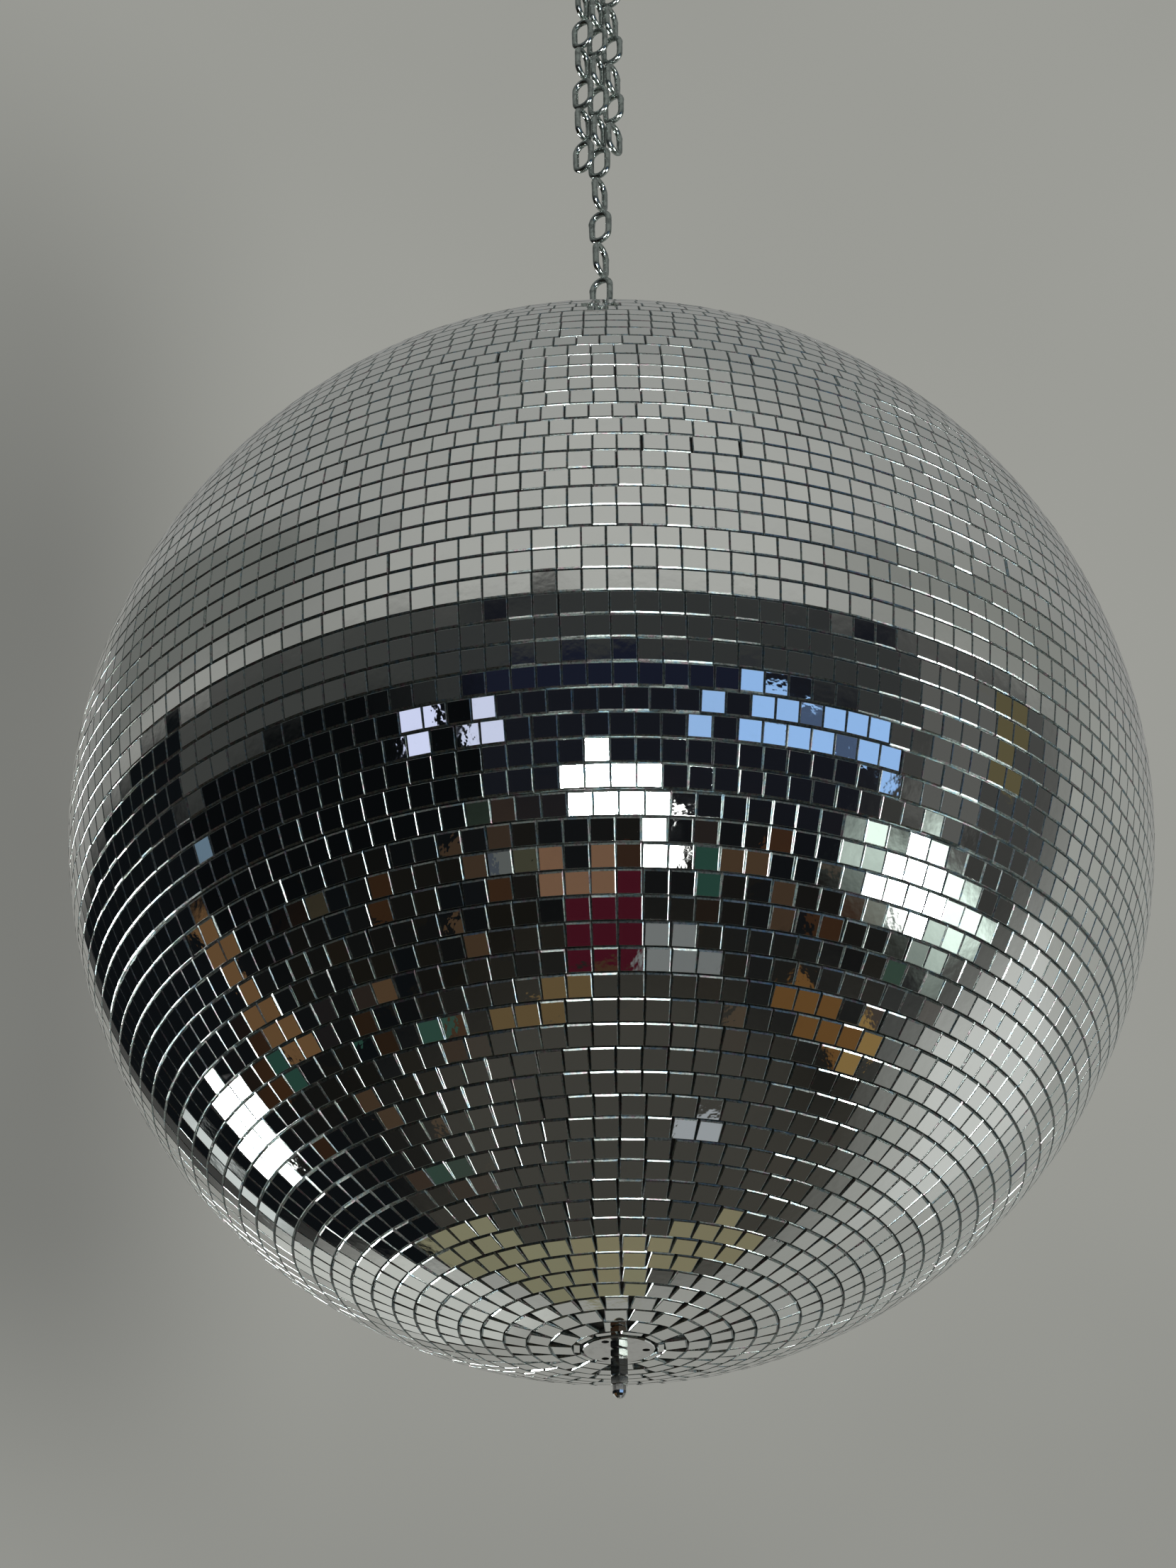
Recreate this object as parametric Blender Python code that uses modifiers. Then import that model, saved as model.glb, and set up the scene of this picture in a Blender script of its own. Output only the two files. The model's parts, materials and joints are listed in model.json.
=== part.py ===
"""Mirror ball, 500 mm across, with the welded steel chain that it hangs on.

The origin is where a ceiling hook bears inside the screw link at the top of the chain. +Z is up
and -Y is the side that faces the room. Lengths are metres and angles are degrees. Everything is
stacked from the origin down: screw link, chain, swivel, ball, and the nuts below the ball.
"""

import math
import random

import bmesh
import bpy
from mathutils import Matrix, Vector

# ------------------------------------------------------------------ clearances
SEAT_GAP = 0.0003        # between faces that bear on each other
RUNNING_GAP = 0.0004     # between faces that turn on each other
THREAD_GAP = 0.0003      # between a thread and the bore that it is in
EDGE = 0.0004            # bevel of a turned rim
OVERRUN = 0.001          # how far a cutter runs past the face that it cuts
SKIM = 0.00001           # how far chamfer cones stand off the ends of a hexagon

# ------------------------------------------------------------------ chain
WIRE = 0.0035            # diameter of the link's wire
PITCH = 0.026            # from one link to the next
LINK_INSIDE = 0.0075     # width inside a link
CHAIN_TURN = -31.0       # azimuth of the plane of every second link
MAIN_LINKS = 7           # links of the main strand that the tails lie against
DROP_LINKS = 6           # links that hang free below them, down to the ball
TAIL_LINKS = {"left": 7, "right": 6}
TAIL_AZIMUTH = {"left": 219.0, "right": 39.0}
TAIL_CLEAR = (0.0002, -0.00045)   # between a tail and the main strand, at the top and the end
TAIL_WIND = -1.4         # turn of a tail round the main strand, for each link
TAIL_PLANE = 153.3       # azimuth of the plane of a tail's first link
TAIL_TWIST = -1.8        # extra turn of the plane, for each link
CROWN_POINTS = 7         # points along each half-round end of a link
LINK_WIDTH = LINK_INSIDE + 2 * WIRE
TAIL_RADIUS = [LINK_WIDTH / 2 + WIRE + clear for clear in TAIL_CLEAR]   # from the strand's axis

# ------------------------------------------------------------------ screw link
HANGER_ROD = 0.005
HANGER_HEIGHT = 0.040    # from the centre of the bar to the centre of the rod at the apex
HANGER_SPARE = 0.0013    # of straight bar beyond the wire of a tail
HANGER_CORNER = 0.006    # radius of the corners, to the centre of the rod
HANGER_APEX = 0.009      # radius at the apex, to the centre of the rod
HANGER_AZIMUTH = 42.0    # of the bar
HANGER_MOUTH = 0.008     # opening that the sleeve nut closes
APEX_POINTS = 8          # points along the arc at the apex
CORNER_POINTS = 5        # points along each lower corner
SLEEVE_LENGTH = 0.016
SLEEVE_FLATS = 0.009
HANGER_BAR = 2 * (TAIL_RADIUS[0] + WIRE / 2 + HANGER_SPARE)     # straight length of the bar

# ------------------------------------------------------------------ swivel
EYE_WIRE = 0.004
EYE_BORE = 0.018         # inside diameter of the eye
EYE_NECK = 0.0015        # from the eye to the cap
SHANK = 0.0044           # diameter of the eye's shank
HEAD_CLEARANCE = 0.0007  # round the head on the shank
HEAD_HEIGHT = 0.0025
THRUST_WASHER = 0.0010   # thickness
HOUSING_FLATS = 0.013
HOUSING_CUP = 0.0094     # diameter of the cup in the housing
HOUSING_THREAD = 0.007   # depth of the threaded bore below the cup
CUP_CLEARANCE = 0.0010   # under the head
CAP_FLANGE = 0.0025
CAP_SPIGOT = 0.003
HEAD = HOUSING_CUP - 2 * HEAD_CLEARANCE

# ------------------------------------------------------------------ ball
BALL_DIAMETER = 0.500    # over the mirror tiles
GLASS = 0.0018           # thickness of a tile
GLUE = 0.0003            # between a tile and the core
CORE_WALL = 0.0030
FLAT_SPARE = 0.0014      # of the flat at a pole, round the plate that seats on it
BAND_HEIGHT = 0.024
BAND_WALL = 0.0025
FACET_ROWS = 14          # rows of facets on each half; a facet stands for a patch of tiles
FACETS_AT_POLE = 12      # in the last row
ROW_JOINT = 0.0006       # gap between two rows, and half of it at the equator
CORE_SIDES = 28
CORE_RINGS = 6

# ------------------------------------------------------------------ fittings at the poles
ROD = 0.004
NUT_FLATS = 0.007
NUT_HEIGHT = 0.0032
LONG_NUT_HEIGHT = 0.0076
CAP_NUT_HEX = 0.0034
DOME_HEIGHT = 0.0056
DOME_WALL = 0.0007       # of the dome round the rod's bore
DOME_POINTS = 5
PLATE = 0.0302           # diameter
PLATE_THICKNESS = 0.002
PLATE_HOLES = 3
PLATE_HOLE = 0.0033
PLATE_HOLE_INSET = 0.0038   # from the plate's rim to the centre of a hole
PLATE_HOLE_SIDES = 10
WASHER = 0.018
WASHER_SPARE = 0.001     # of the flat inside a shell, round the washer
WASHER_THICKNESS = 0.0012
ROD_ENTRY = 0.0055       # of the rod in the housing and in the cap nut
ROUND_SIDES = 12
PLATE_SIDES = 24
CHAMFER_END = 0.475      # radius of the round end face of a hexagon, as a share of its flats
CHAMFER_START = 1.02     # radius at which the cones begin, as a share of the corner's
CHAMFER_SLOPE = 30.0

# ------------------------------------------------------------------ derived heights, top down
HOOK = WIRE + SEAT_GAP                       # between the centres of two bars that bear
EYE_RADIUS = (EYE_BORE + EYE_WIRE) / 2
BAR_Z = HANGER_ROD / 2 - HANGER_HEIGHT
FIRST_LINK_Z = BAR_Z + (HANGER_ROD - WIRE) / 2
LAST_BAR_Z = FIRST_LINK_Z - (MAIN_LINKS + DROP_LINKS) * PITCH
EYE_CENTRE = (WIRE + EYE_WIRE) / 2 + SEAT_GAP - EYE_RADIUS      # below the last bar
CAP_TOP = EYE_CENTRE - EYE_RADIUS - EYE_WIRE / 2 - EYE_NECK
CAP_SEAT = CAP_TOP - CAP_FLANGE
HOUSING_TOP = CAP_SEAT - SEAT_GAP
SPIGOT_END = CAP_SEAT - CAP_SPIGOT
WASHER_TOP = SPIGOT_END - RUNNING_GAP
HEAD_TOP = WASHER_TOP - THRUST_WASHER - RUNNING_GAP
HEAD_END = HEAD_TOP - HEAD_HEIGHT
CUP_FLOOR = HEAD_END - CUP_CLEARANCE
HOUSING_END = CUP_FLOOR - HOUSING_THREAD
TOP_NUT_END = HOUSING_END - SEAT_GAP - NUT_HEIGHT
PLATE_FACE_Z = LAST_BAR_Z + TOP_NUT_END - SEAT_GAP

# ------------------------------------------------------------------ derived radii of the ball
BALL_R = BALL_DIAMETER / 2
GLASS_BACK_R = BALL_R - GLASS
CORE_R = GLASS_BACK_R - GLUE
CORE_INNER_R = CORE_R - CORE_WALL
FLAT_R = PLATE / 2 + FLAT_SPARE
INNER_FLAT_R = WASHER / 2 + WASHER_SPARE
FLAT_Z = math.sqrt(CORE_R ** 2 - FLAT_R ** 2)
INNER_FLAT_Z = math.sqrt(CORE_INNER_R ** 2 - INNER_FLAT_R ** 2)
PLATE_SEAT = FLAT_Z + SEAT_GAP               # from the centre of the ball
PLATE_FACE = PLATE_SEAT + PLATE_THICKNESS
BALL_Z = PLATE_FACE_Z - PLATE_FACE           # height of the centre of the ball

# ------------------------------------------------------------------ finishes
MIRROR = ((0.78, 0.80, 0.80), 0.04, 1.0)
ZINC = ((0.38, 0.38, 0.37), 0.38, 1.0)
POLISHED = ((0.62, 0.62, 0.60), 0.12, 1.0)
PLASTIC = ((0.025, 0.025, 0.028), 0.55, 0.0)
BRONZE = ((0.50, 0.33, 0.16), 0.40, 1.0)


# ================================================================== tools
def start_empty():
    """Remove the scene's objects and make the two collections."""
    for obj in list(bpy.data.objects):
        bpy.data.objects.remove(obj, do_unlink=True)
    made = []
    for name in ("mirror_ball", "cutters"):
        collection = bpy.data.collections.new(name)
        bpy.context.scene.collection.children.link(collection)
        made.append(collection)
    return made


PARTS, CUTTERS = start_empty()


def painted(obj, finish):
    """Give the object a material of its own with the finish's colour, roughness and metal."""
    colour, roughness, metallic = finish
    material = bpy.data.materials.new(obj.name)
    material.use_nodes = True
    shader = material.node_tree.nodes["Principled BSDF"]
    shader.inputs["Base Color"].default_value = (*colour, 1.0)
    shader.inputs["Roughness"].default_value = roughness
    shader.inputs["Metallic"].default_value = metallic
    if not obj.data.materials:
        obj.data.materials.append(None)
    obj.material_slots[0].link = "OBJECT"
    obj.material_slots[0].material = material


def part(name, data, finish, parent=None, matrix=None):
    """Add a sub-part of the object. The matrix places it in its parent."""
    obj = bpy.data.objects.new(name, data)
    PARTS.objects.link(obj)
    obj.parent = parent
    obj.matrix_basis = matrix or Matrix.Identity(4)
    painted(obj, finish)
    return obj


def empty(name, parent, matrix):
    """Add an empty that places the parts below it."""
    obj = bpy.data.objects.new(name, None)
    PARTS.objects.link(obj)
    obj.parent = parent
    obj.matrix_basis = matrix
    return obj


def cutter(name, data, parent, matrix=None):
    """Add a hidden object for a Boolean, in the frame of the part that it works on."""
    obj = bpy.data.objects.new(name, data)
    CUTTERS.objects.link(obj)
    obj.parent = parent
    obj.matrix_basis = matrix or Matrix.Identity(4)
    obj.hide_render = True
    obj.display_type = "WIRE"
    return obj


def boolean(obj, operation, tool):
    """Cut, join or intersect the object with the tool."""
    modifier = obj.modifiers.new(tool.name, "BOOLEAN")
    modifier.operation = operation
    modifier.object = tool
    modifier.solver = "EXACT"


def turn_z(angle):
    """Rotation about Z by an angle in degrees."""
    return Matrix.Rotation(math.radians(angle), 4, "Z")


def shift_z(height):
    """Translation along Z."""
    return Matrix.Translation((0.0, 0.0, height))


def prism(name, radius, bottom, top, sides, start=0.0):
    """Mesh of an upright prism or cylinder whose first corner is at the start angle."""
    mesh = bpy.data.meshes.new(name)
    bm = bmesh.new()
    place = shift_z((bottom + top) / 2) @ turn_z(start)
    bmesh.ops.create_cone(bm, cap_ends=True, segments=sides, radius1=radius, radius2=radius,
                          depth=top - bottom, matrix=place)
    bm.to_mesh(mesh)
    bm.free()
    return mesh


def outline_mesh(name, outline, closed):
    """Mesh of the edges of a profile, given as (radius, height) points down its outer side."""
    mesh = bpy.data.meshes.new(name)
    count = len(outline)
    edges = [(i, (i + 1) % count) for i in range(count if closed else count - 1)]
    mesh.from_pydata([(radius, 0.0, height) for radius, height in outline], edges, [])
    return mesh


def spin(obj, sides):
    """Turn the object's profile about Z."""
    modifier = obj.modifiers.new("turned", "SCREW")
    modifier.angle = math.tau
    modifier.steps = sides
    modifier.render_steps = sides
    modifier.use_merge_vertices = True
    modifier.merge_threshold = 0.00001


def turned(name, outline, sides, finish, parent, matrix=None):
    """A turned part. An outline that starts on the axis ends there; any other one is a ring."""
    closed = outline[0][0] > 0.0
    obj = part(name, outline_mesh(name, outline, closed), finish, parent, matrix)
    spin(obj, sides)
    return obj


def arc(radius, start, end, count):
    """Points on a circle about the origin, from one angle to the other, both included."""
    step = (end - start) / (count - 1)
    angles = [math.radians(start + step * i) for i in range(count)]
    return [(radius * math.cos(a), radius * math.sin(a)) for a in angles]


# ================================================================== chain
def link_curve():
    """Centre line of a link, in its own XZ plane, with its wire.

    The origin is the centre of the bar above that the link hangs on, and the bar that carries the
    next link is one pitch below it.
    """
    crown = (LINK_WIDTH - WIRE) / 2
    top = HOOK - crown
    bottom = crown - PITCH
    points = [(x, top + z) for x, z in arc(crown, 0.0, 180.0, CROWN_POINTS)]
    points += [(x, bottom + z) for x, z in arc(crown, 180.0, 360.0, CROWN_POINTS)]
    return wire_curve("chain_link", [(x, 0.0, z) for x, z in points], WIRE, 1, True)


def wire_curve(name, points, diameter, resolution, cyclic):
    """A round wire along straight pieces between the points."""
    curve = bpy.data.curves.new(name, "CURVE")
    curve.dimensions = "3D"
    curve.bevel_depth = diameter / 2
    curve.bevel_resolution = resolution
    curve.use_fill_caps = not cyclic
    spline = curve.splines.new("POLY")
    spline.points.add(len(points) - 1)
    for target, point in zip(spline.points, points):
        target.co = (*point, 1.0)
    spline.use_cyclic_u = cyclic
    return curve


def add_strand(curve):
    """The main strand and the links that hang free: each link is carried by the one above.

    Returns the last link.
    """
    names = [f"main_link_{i + 1}" for i in range(MAIN_LINKS)]
    names += [f"drop_link_{i + 1}" for i in range(DROP_LINKS)]
    place = shift_z(FIRST_LINK_Z) @ turn_z(CHAIN_TURN)
    carrier = None
    for name in names:
        carrier = part(name, curve, ZINC, carrier, place)
        place = shift_z(-PITCH) @ turn_z(90.0)
    return carrier


def tail_contacts(azimuth, links):
    """Where the links of a tail meet, from the bar of the screw link down."""
    contacts = []
    height = FIRST_LINK_Z + HOOK / 2
    for i in range(links + 1):
        share = i / max(TAIL_LINKS.values())
        radius = TAIL_RADIUS[0] + (TAIL_RADIUS[1] - TAIL_RADIUS[0]) * share
        angle = math.radians(azimuth + i * TAIL_WIND)
        point = Vector((radius * math.cos(angle), radius * math.sin(angle), height))
        if contacts:
            sideways = (point - contacts[-1]).xy.length
            height -= math.sqrt(PITCH ** 2 - sideways ** 2)
            point.z = height
        contacts.append(point)
    return contacts


def add_tail(side, curve):
    """A spare tail that lies against the main strand."""
    contacts = tail_contacts(TAIL_AZIMUTH[side], TAIL_LINKS[side])
    for i in range(TAIL_LINKS[side]):
        up = (contacts[i] - contacts[i + 1]).normalized()
        plane = math.radians(TAIL_PLANE + i * (90.0 + TAIL_TWIST))
        across = Vector((math.cos(plane), math.sin(plane), 0.0))
        across = (across - across.dot(up) * up).normalized()
        turn = Matrix((across, up.cross(across), up)).transposed().to_4x4()
        place = Matrix.Translation(contacts[i] - up * HOOK / 2) @ turn
        part(f"{side}_tail_link_{i + 1}", curve, ZINC, None, place)


# ================================================================== screw link
def hanger_path():
    """Centre line of the screw link in its XZ plane, from one lip of its mouth to the other.

    Returns the points, the centre of the mouth and the slope of the side that it is in.
    """
    corner = Vector((HANGER_BAR / 2, HANGER_CORNER))
    apex = Vector((0.0, HANGER_HEIGHT - HANGER_APEX))
    between = corner - apex
    lean = math.degrees(math.atan2(between.y, between.x)
                        + math.acos((HANGER_APEX - HANGER_CORNER) / between.length))
    outward = Vector((math.cos(math.radians(lean)), math.sin(math.radians(lean))))
    along = Vector((-outward.y, outward.x))
    low = corner + outward * HANGER_CORNER
    high = apex + outward * HANGER_APEX
    middle = (low + high) / 2
    points = [middle + along * HANGER_MOUTH / 2]
    points += [apex + Vector(p) for p in arc(HANGER_APEX, lean, 180.0 - lean, APEX_POINTS)]
    left = Vector((-corner.x, corner.y))
    left_arc = arc(HANGER_CORNER, 180.0 - lean, 270.0, CORNER_POINTS)
    right_arc = arc(HANGER_CORNER, -90.0, lean, CORNER_POINTS)
    points += [left + Vector(p) for p in left_arc] + [corner + Vector(p) for p in right_arc]
    points.append(middle - along * HANGER_MOUTH / 2)
    return points, middle, lean


def add_screw_link():
    """The screw link that holds the three strands, and the sleeve nut that closes it."""
    points, middle, lean = hanger_path()
    place = shift_z(BAR_Z) @ turn_z(HANGER_AZIMUTH)
    curve = wire_curve("screw_link", [(p.x, 0.0, p.y) for p in points], HANGER_ROD, 1, False)
    body = part("screw_link", curve, ZINC, None, place)
    tilt = Matrix.Translation((middle.x, 0.0, middle.y)) @ Matrix.Rotation(
        -math.radians(lean), 4, "Y")
    hex_part("screw_link_sleeve", SLEEVE_FLATS, -SLEEVE_LENGTH / 2, SLEEVE_LENGTH / 2,
             HANGER_ROD + 2 * THREAD_GAP, ZINC, body, tilt)


# ================================================================== hexagons
def corner_radius(flats):
    """Radius over the corners of a hexagon, from its width across the flats."""
    return flats / math.sqrt(3.0)


def chamfer_outline(flats, bottom, top):
    """Outline of the cones that take the corners off both ends of a hexagon."""
    corner = corner_radius(flats) * CHAMFER_START
    end = flats * CHAMFER_END
    drop = (corner - end) * math.tan(math.radians(CHAMFER_SLOPE))
    return [(0.0, top), (end, top), (corner, top - drop), (corner, bottom + drop),
            (end, bottom), (0.0, bottom)]


def hex_part(name, flats, bottom, top, bore, finish, parent, matrix=None):
    """A hexagonal piece with chamfered ends and a bore of the given diameter right through."""
    mesh = prism(name, corner_radius(flats), bottom, top, 6)
    obj = part(name, mesh, finish, parent, matrix)
    outline = chamfer_outline(flats, bottom - SKIM, top + SKIM)
    cones = cutter(name + "_cones", outline_mesh(name + "_cones", outline, False), obj)
    spin(cones, ROUND_SIDES)
    boolean(obj, "INTERSECT", cones)
    if bore:
        hole = cutter(name + "_bore", prism(
            name + "_bore", bore / 2, bottom - OVERRUN, top + OVERRUN, ROUND_SIDES, 15.0), obj)
        boolean(obj, "DIFFERENCE", hole)
    return obj


# ================================================================== swivel
def add_swivel_eye(last_link):
    """Forged eye with a headed shank. Its origin is on the bar of the last link."""
    bm = bmesh.new()
    mesh = bpy.data.meshes.new("swivel_eye")
    bpy.ops.mesh.primitive_torus_add(major_segments=20, minor_segments=8,
                                     major_radius=EYE_RADIUS, minor_radius=EYE_WIRE / 2)
    torus = bpy.context.object
    bm.from_mesh(torus.data)
    bpy.data.objects.remove(torus, do_unlink=True)
    bmesh.ops.transform(bm, verts=bm.verts, matrix=shift_z(EYE_CENTRE) @ Matrix.Rotation(
        math.pi / 2, 4, "X"))
    bm.to_mesh(mesh)
    bm.free()
    eye = part("swivel_eye", mesh, ZINC, last_link, shift_z(-PITCH) @ turn_z(90.0))
    neck_top = EYE_CENTRE - EYE_RADIUS
    outline = [(0.0, neck_top), (SHANK / 2, neck_top), (SHANK / 2, HEAD_TOP),
               (HEAD / 2, HEAD_TOP), (HEAD / 2, HEAD_END), (0.0, HEAD_END)]
    shank = cutter("swivel_shank", outline_mesh("swivel_shank", outline, False), eye)
    spin(shank, ROUND_SIDES)
    boolean(eye, "UNION", shank)
    return eye


def add_swivel_housing(eye, spinning):
    """Housing on the rod, the cap that closes it and the thrust washer between cap and head."""
    offset = eye_to_ball()
    housing = hex_part("swivel_housing", HOUSING_FLATS, HOUSING_END, HOUSING_TOP,
                       ROD + 2 * THREAD_GAP, POLISHED, spinning, offset)
    cup = cutter("swivel_cup", prism("swivel_cup", HOUSING_CUP / 2, CUP_FLOOR,
                                     HOUSING_TOP + OVERRUN, ROUND_SIDES), housing)
    boolean(housing, "DIFFERENCE", cup)
    hole = SHANK / 2 + RUNNING_GAP
    spigot = HOUSING_CUP / 2 - THREAD_GAP
    flange = HOUSING_FLATS * CHAMFER_END
    turned("swivel_cap", [(hole, CAP_TOP), (flange - EDGE, CAP_TOP),
                          (flange, CAP_TOP - EDGE), (flange, CAP_SEAT),
                          (spigot, CAP_SEAT), (spigot, SPIGOT_END), (hole, SPIGOT_END)],
           ROUND_SIDES, POLISHED, spinning, offset)
    turned("swivel_washer", [(hole, WASHER_TOP), (HEAD / 2, WASHER_TOP),
                             (HEAD / 2, WASHER_TOP - THRUST_WASHER),
                             (hole, WASHER_TOP - THRUST_WASHER)],
           ROUND_SIDES, BRONZE, spinning, offset)


def eye_to_ball():
    """Places a piece drawn in the eye's heights in the frame at the centre of the ball."""
    return shift_z(LAST_BAR_Z - BALL_Z)


# ================================================================== ball
def pole_latitude(radius, hole):
    """Latitude at which a sphere's surface meets a round hole about the pole."""
    return math.degrees(math.acos(hole / radius))


def add_core_shell(name, pole):
    """Half of the hollow core, open at the equator, with a flat for the plate at its pole."""
    bore = ROD / 2 + THREAD_GAP
    rim = SEAT_GAP / 2
    outer = arc(CORE_R, pole_latitude(CORE_R, FLAT_R), 0.0, CORE_RINGS + 1)
    inner = arc(CORE_INNER_R, 0.0, pole_latitude(CORE_INNER_R, INNER_FLAT_R), CORE_RINGS + 1)
    outer[-1] = (CORE_R, rim)
    inner[0] = (CORE_INNER_R, rim)
    outline = [(bore, FLAT_Z), *outer, *inner, (bore, INNER_FLAT_Z)]
    return turned(name, outline, CORE_SIDES, PLASTIC, pole)


def add_equator_band(spinning):
    """Band glued inside the two shells where they meet. It follows the faces of their inside."""
    first_ring = math.radians(pole_latitude(CORE_INNER_R, INNER_FLAT_R) / CORE_RINGS)
    slope = (1.0 - math.cos(first_ring)) / math.sin(first_ring)
    half = BAND_HEIGHT / 2
    middle = CORE_INNER_R - SEAT_GAP
    end = middle - half * slope
    outline = [(end, half), (middle, 0.0), (end, -half), (end - BAND_WALL, -half),
               (middle - BAND_WALL, 0.0), (end - BAND_WALL, half)]
    return turned("equator_band", outline, CORE_SIDES, PLASTIC, spinning)


def ring(bm, radius, height, count, phase):
    """Corners of a regular polygon about Z, as (angle, vertex) in order of angle."""
    corners = []
    for i in range(count):
        angle = math.tau * (i + phase) / count
        corners.append((angle, bm.verts.new((radius * math.cos(angle),
                                             radius * math.sin(angle), height))))
    return corners


def join_equal(bm, low, high):
    """Flat four-sided faces between two rings of the same count."""
    count = len(low)
    for i in range(count):
        j = (i + 1) % count
        bm.faces.new((low[i][1], low[j][1], high[j][1], high[i][1]))


def join_unlike(bm, low, high):
    """Three-sided faces between two rings of unlike counts, taken in order of angle."""
    i = j = 0
    while i < len(low) or j < len(high):
        next_low = low[(i + 1) % len(low)][0] + (math.tau if i + 1 >= len(low) else 0.0)
        next_high = high[(j + 1) % len(high)][0] + (math.tau if j + 1 >= len(high) else 0.0)
        here_low = low[i % len(low)][1]
        here_high = high[j % len(high)][1]
        if j >= len(high) or (i < len(low) and next_low <= next_high):
            bm.faces.new((here_low, low[(i + 1) % len(low)][1], here_high))
            i += 1
        else:
            bm.faces.new((here_low, high[(j + 1) % len(high)][1], here_high))
            j += 1


def facet_rows(bm, chance):
    """Rows of flat facets from the equator to the pole, each row free of its neighbours' joints.

    Returns the first and the last ring of corners.
    """
    joint = math.degrees(ROW_JOINT / BALL_R)
    pole = pole_latitude(BALL_R, FLAT_R / math.cos(math.pi / FACETS_AT_POLE))
    step = (pole + joint / 2) / FACET_ROWS
    first = None
    below = None
    for row in range(FACET_ROWS):
        low_angle = math.radians(row * step + joint / 2)
        high_angle = math.radians((row + 1) * step - joint / 2)
        girth = math.tau * math.cos((low_angle + high_angle) / 2)
        count = max(FACETS_AT_POLE, round(girth / math.radians(step)))
        phase = chance.random()
        low = ring(bm, BALL_R * math.cos(low_angle), BALL_R * math.sin(low_angle), count, phase)
        high = ring(bm, BALL_R * math.cos(high_angle), BALL_R * math.sin(high_angle), count, phase)
        join_equal(bm, low, high)
        if below:
            join_unlike(bm, below, low)
        first = first or low
        below = high
    return first, below


def add_mirror_skin(name, pole, seed):
    """The tiles of one half, as one skin of flat facets with a hole for the plate."""
    bm = bmesh.new()
    first, last = facet_rows(bm, random.Random(seed))
    rim = first[0][1].co.z
    top = pole_latitude(GLASS_BACK_R, FLAT_R)
    backs = []
    for i in range(CORE_RINGS + 1):
        angle = math.radians(top * i / CORE_RINGS)
        height = max(GLASS_BACK_R * math.sin(angle), rim)
        backs.append(ring(bm, GLASS_BACK_R * math.cos(angle), height, CORE_SIDES, 0.0))
    for low, high in zip(backs, backs[1:]):
        join_equal(bm, low, high)
    join_unlike(bm, first, backs[0])
    join_unlike(bm, last, backs[-1])
    bmesh.ops.recalc_face_normals(bm, faces=bm.faces)
    mesh = bpy.data.meshes.new(name)
    bm.to_mesh(mesh)
    bm.free()
    return part(name, mesh, MIRROR, pole)


# ================================================================== fittings at the poles
def add_pole_fittings(end, pole):
    """Plate and nut outside a pole, washer and nut inside it, in the frame of that pole."""
    bore = ROD + 2 * THREAD_GAP
    rim = PLATE / 2
    plate = turned(f"{end}_plate", [(bore / 2, PLATE_FACE), (rim - EDGE, PLATE_FACE),
                                    (rim, PLATE_FACE - EDGE), (rim, PLATE_SEAT),
                                    (bore / 2, PLATE_SEAT)],
                   PLATE_SIDES, POLISHED, pole)
    for i in range(PLATE_HOLES):
        name = f"{end}_plate_hole_{i + 1}"
        centre = turn_z(360.0 * i / PLATE_HOLES) @ Matrix.Translation((
            rim - PLATE_HOLE_INSET, 0.0, 0.0))
        hole = cutter(name, prism(name, PLATE_HOLE / 2, PLATE_SEAT - OVERRUN,
                                  PLATE_FACE + OVERRUN, PLATE_HOLE_SIDES), plate, centre)
        boolean(plate, "DIFFERENCE", hole)
    nut_seat = PLATE_FACE + SEAT_GAP
    hex_part(f"{end}_nut", NUT_FLATS, nut_seat, nut_seat + NUT_HEIGHT, bore, POLISHED, pole)
    washer_top = INNER_FLAT_Z - SEAT_GAP
    washer_end = washer_top - WASHER_THICKNESS
    turned(f"{end}_inner_washer", [(bore / 2, washer_top), (WASHER / 2, washer_top),
                                   (WASHER / 2, washer_end), (bore / 2, washer_end)],
           PLATE_SIDES, ZINC, pole)
    nut_top = washer_end - SEAT_GAP
    hex_part(f"{end}_inner_nut", NUT_FLATS, nut_top - NUT_HEIGHT, nut_top, bore, ZINC, pole)
    return nut_seat + NUT_HEIGHT


def add_end_nuts(pole, seat):
    """Long nut and domed cap nut on the end of the rod. Returns how far out the rod reaches."""
    bore = ROD + 2 * THREAD_GAP
    long_seat = seat + SEAT_GAP
    long_end = long_seat + LONG_NUT_HEIGHT
    hex_part("bottom_long_nut", NUT_FLATS, long_seat, long_end, bore, POLISHED, pole)
    cap_seat = long_end + SEAT_GAP
    hex_end = cap_seat + CAP_NUT_HEX
    cap = hex_part("bottom_cap_nut", NUT_FLATS, cap_seat, hex_end, 0.0, POLISHED, pole)
    radius = bore / 2 + DOME_WALL
    shoulder = hex_end + DOME_HEIGHT - radius
    dome_arc = [(r, shoulder + z) for r, z in arc(radius, 90.0, 0.0, DOME_POINTS)]
    dome_arc[0] = (0.0, dome_arc[0][1])
    dome = cutter("cap_nut_dome", outline_mesh("cap_nut_dome", [
        *dome_arc, (radius, hex_end - OVERRUN), (0.0, hex_end - OVERRUN)], False), cap)
    spin(dome, ROUND_SIDES)
    boolean(cap, "UNION", dome)
    hole = cutter("cap_nut_bore", prism(
        "cap_nut_bore", bore / 2, cap_seat - OVERRUN, shoulder, ROUND_SIDES, 15.0), cap)
    boolean(cap, "DIFFERENCE", hole)
    return cap_seat + ROD_ENTRY


def add_centre_rod(spinning, bottom_reach):
    """Threaded rod from the cap nut below the ball to the swivel's housing above it."""
    top = LAST_BAR_Z - BALL_Z + HOUSING_END + ROD_ENTRY
    return part("centre_rod", prism("centre_rod", ROD / 2, -bottom_reach, top, ROUND_SIDES, 15.0),
                ZINC, spinning)


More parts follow.
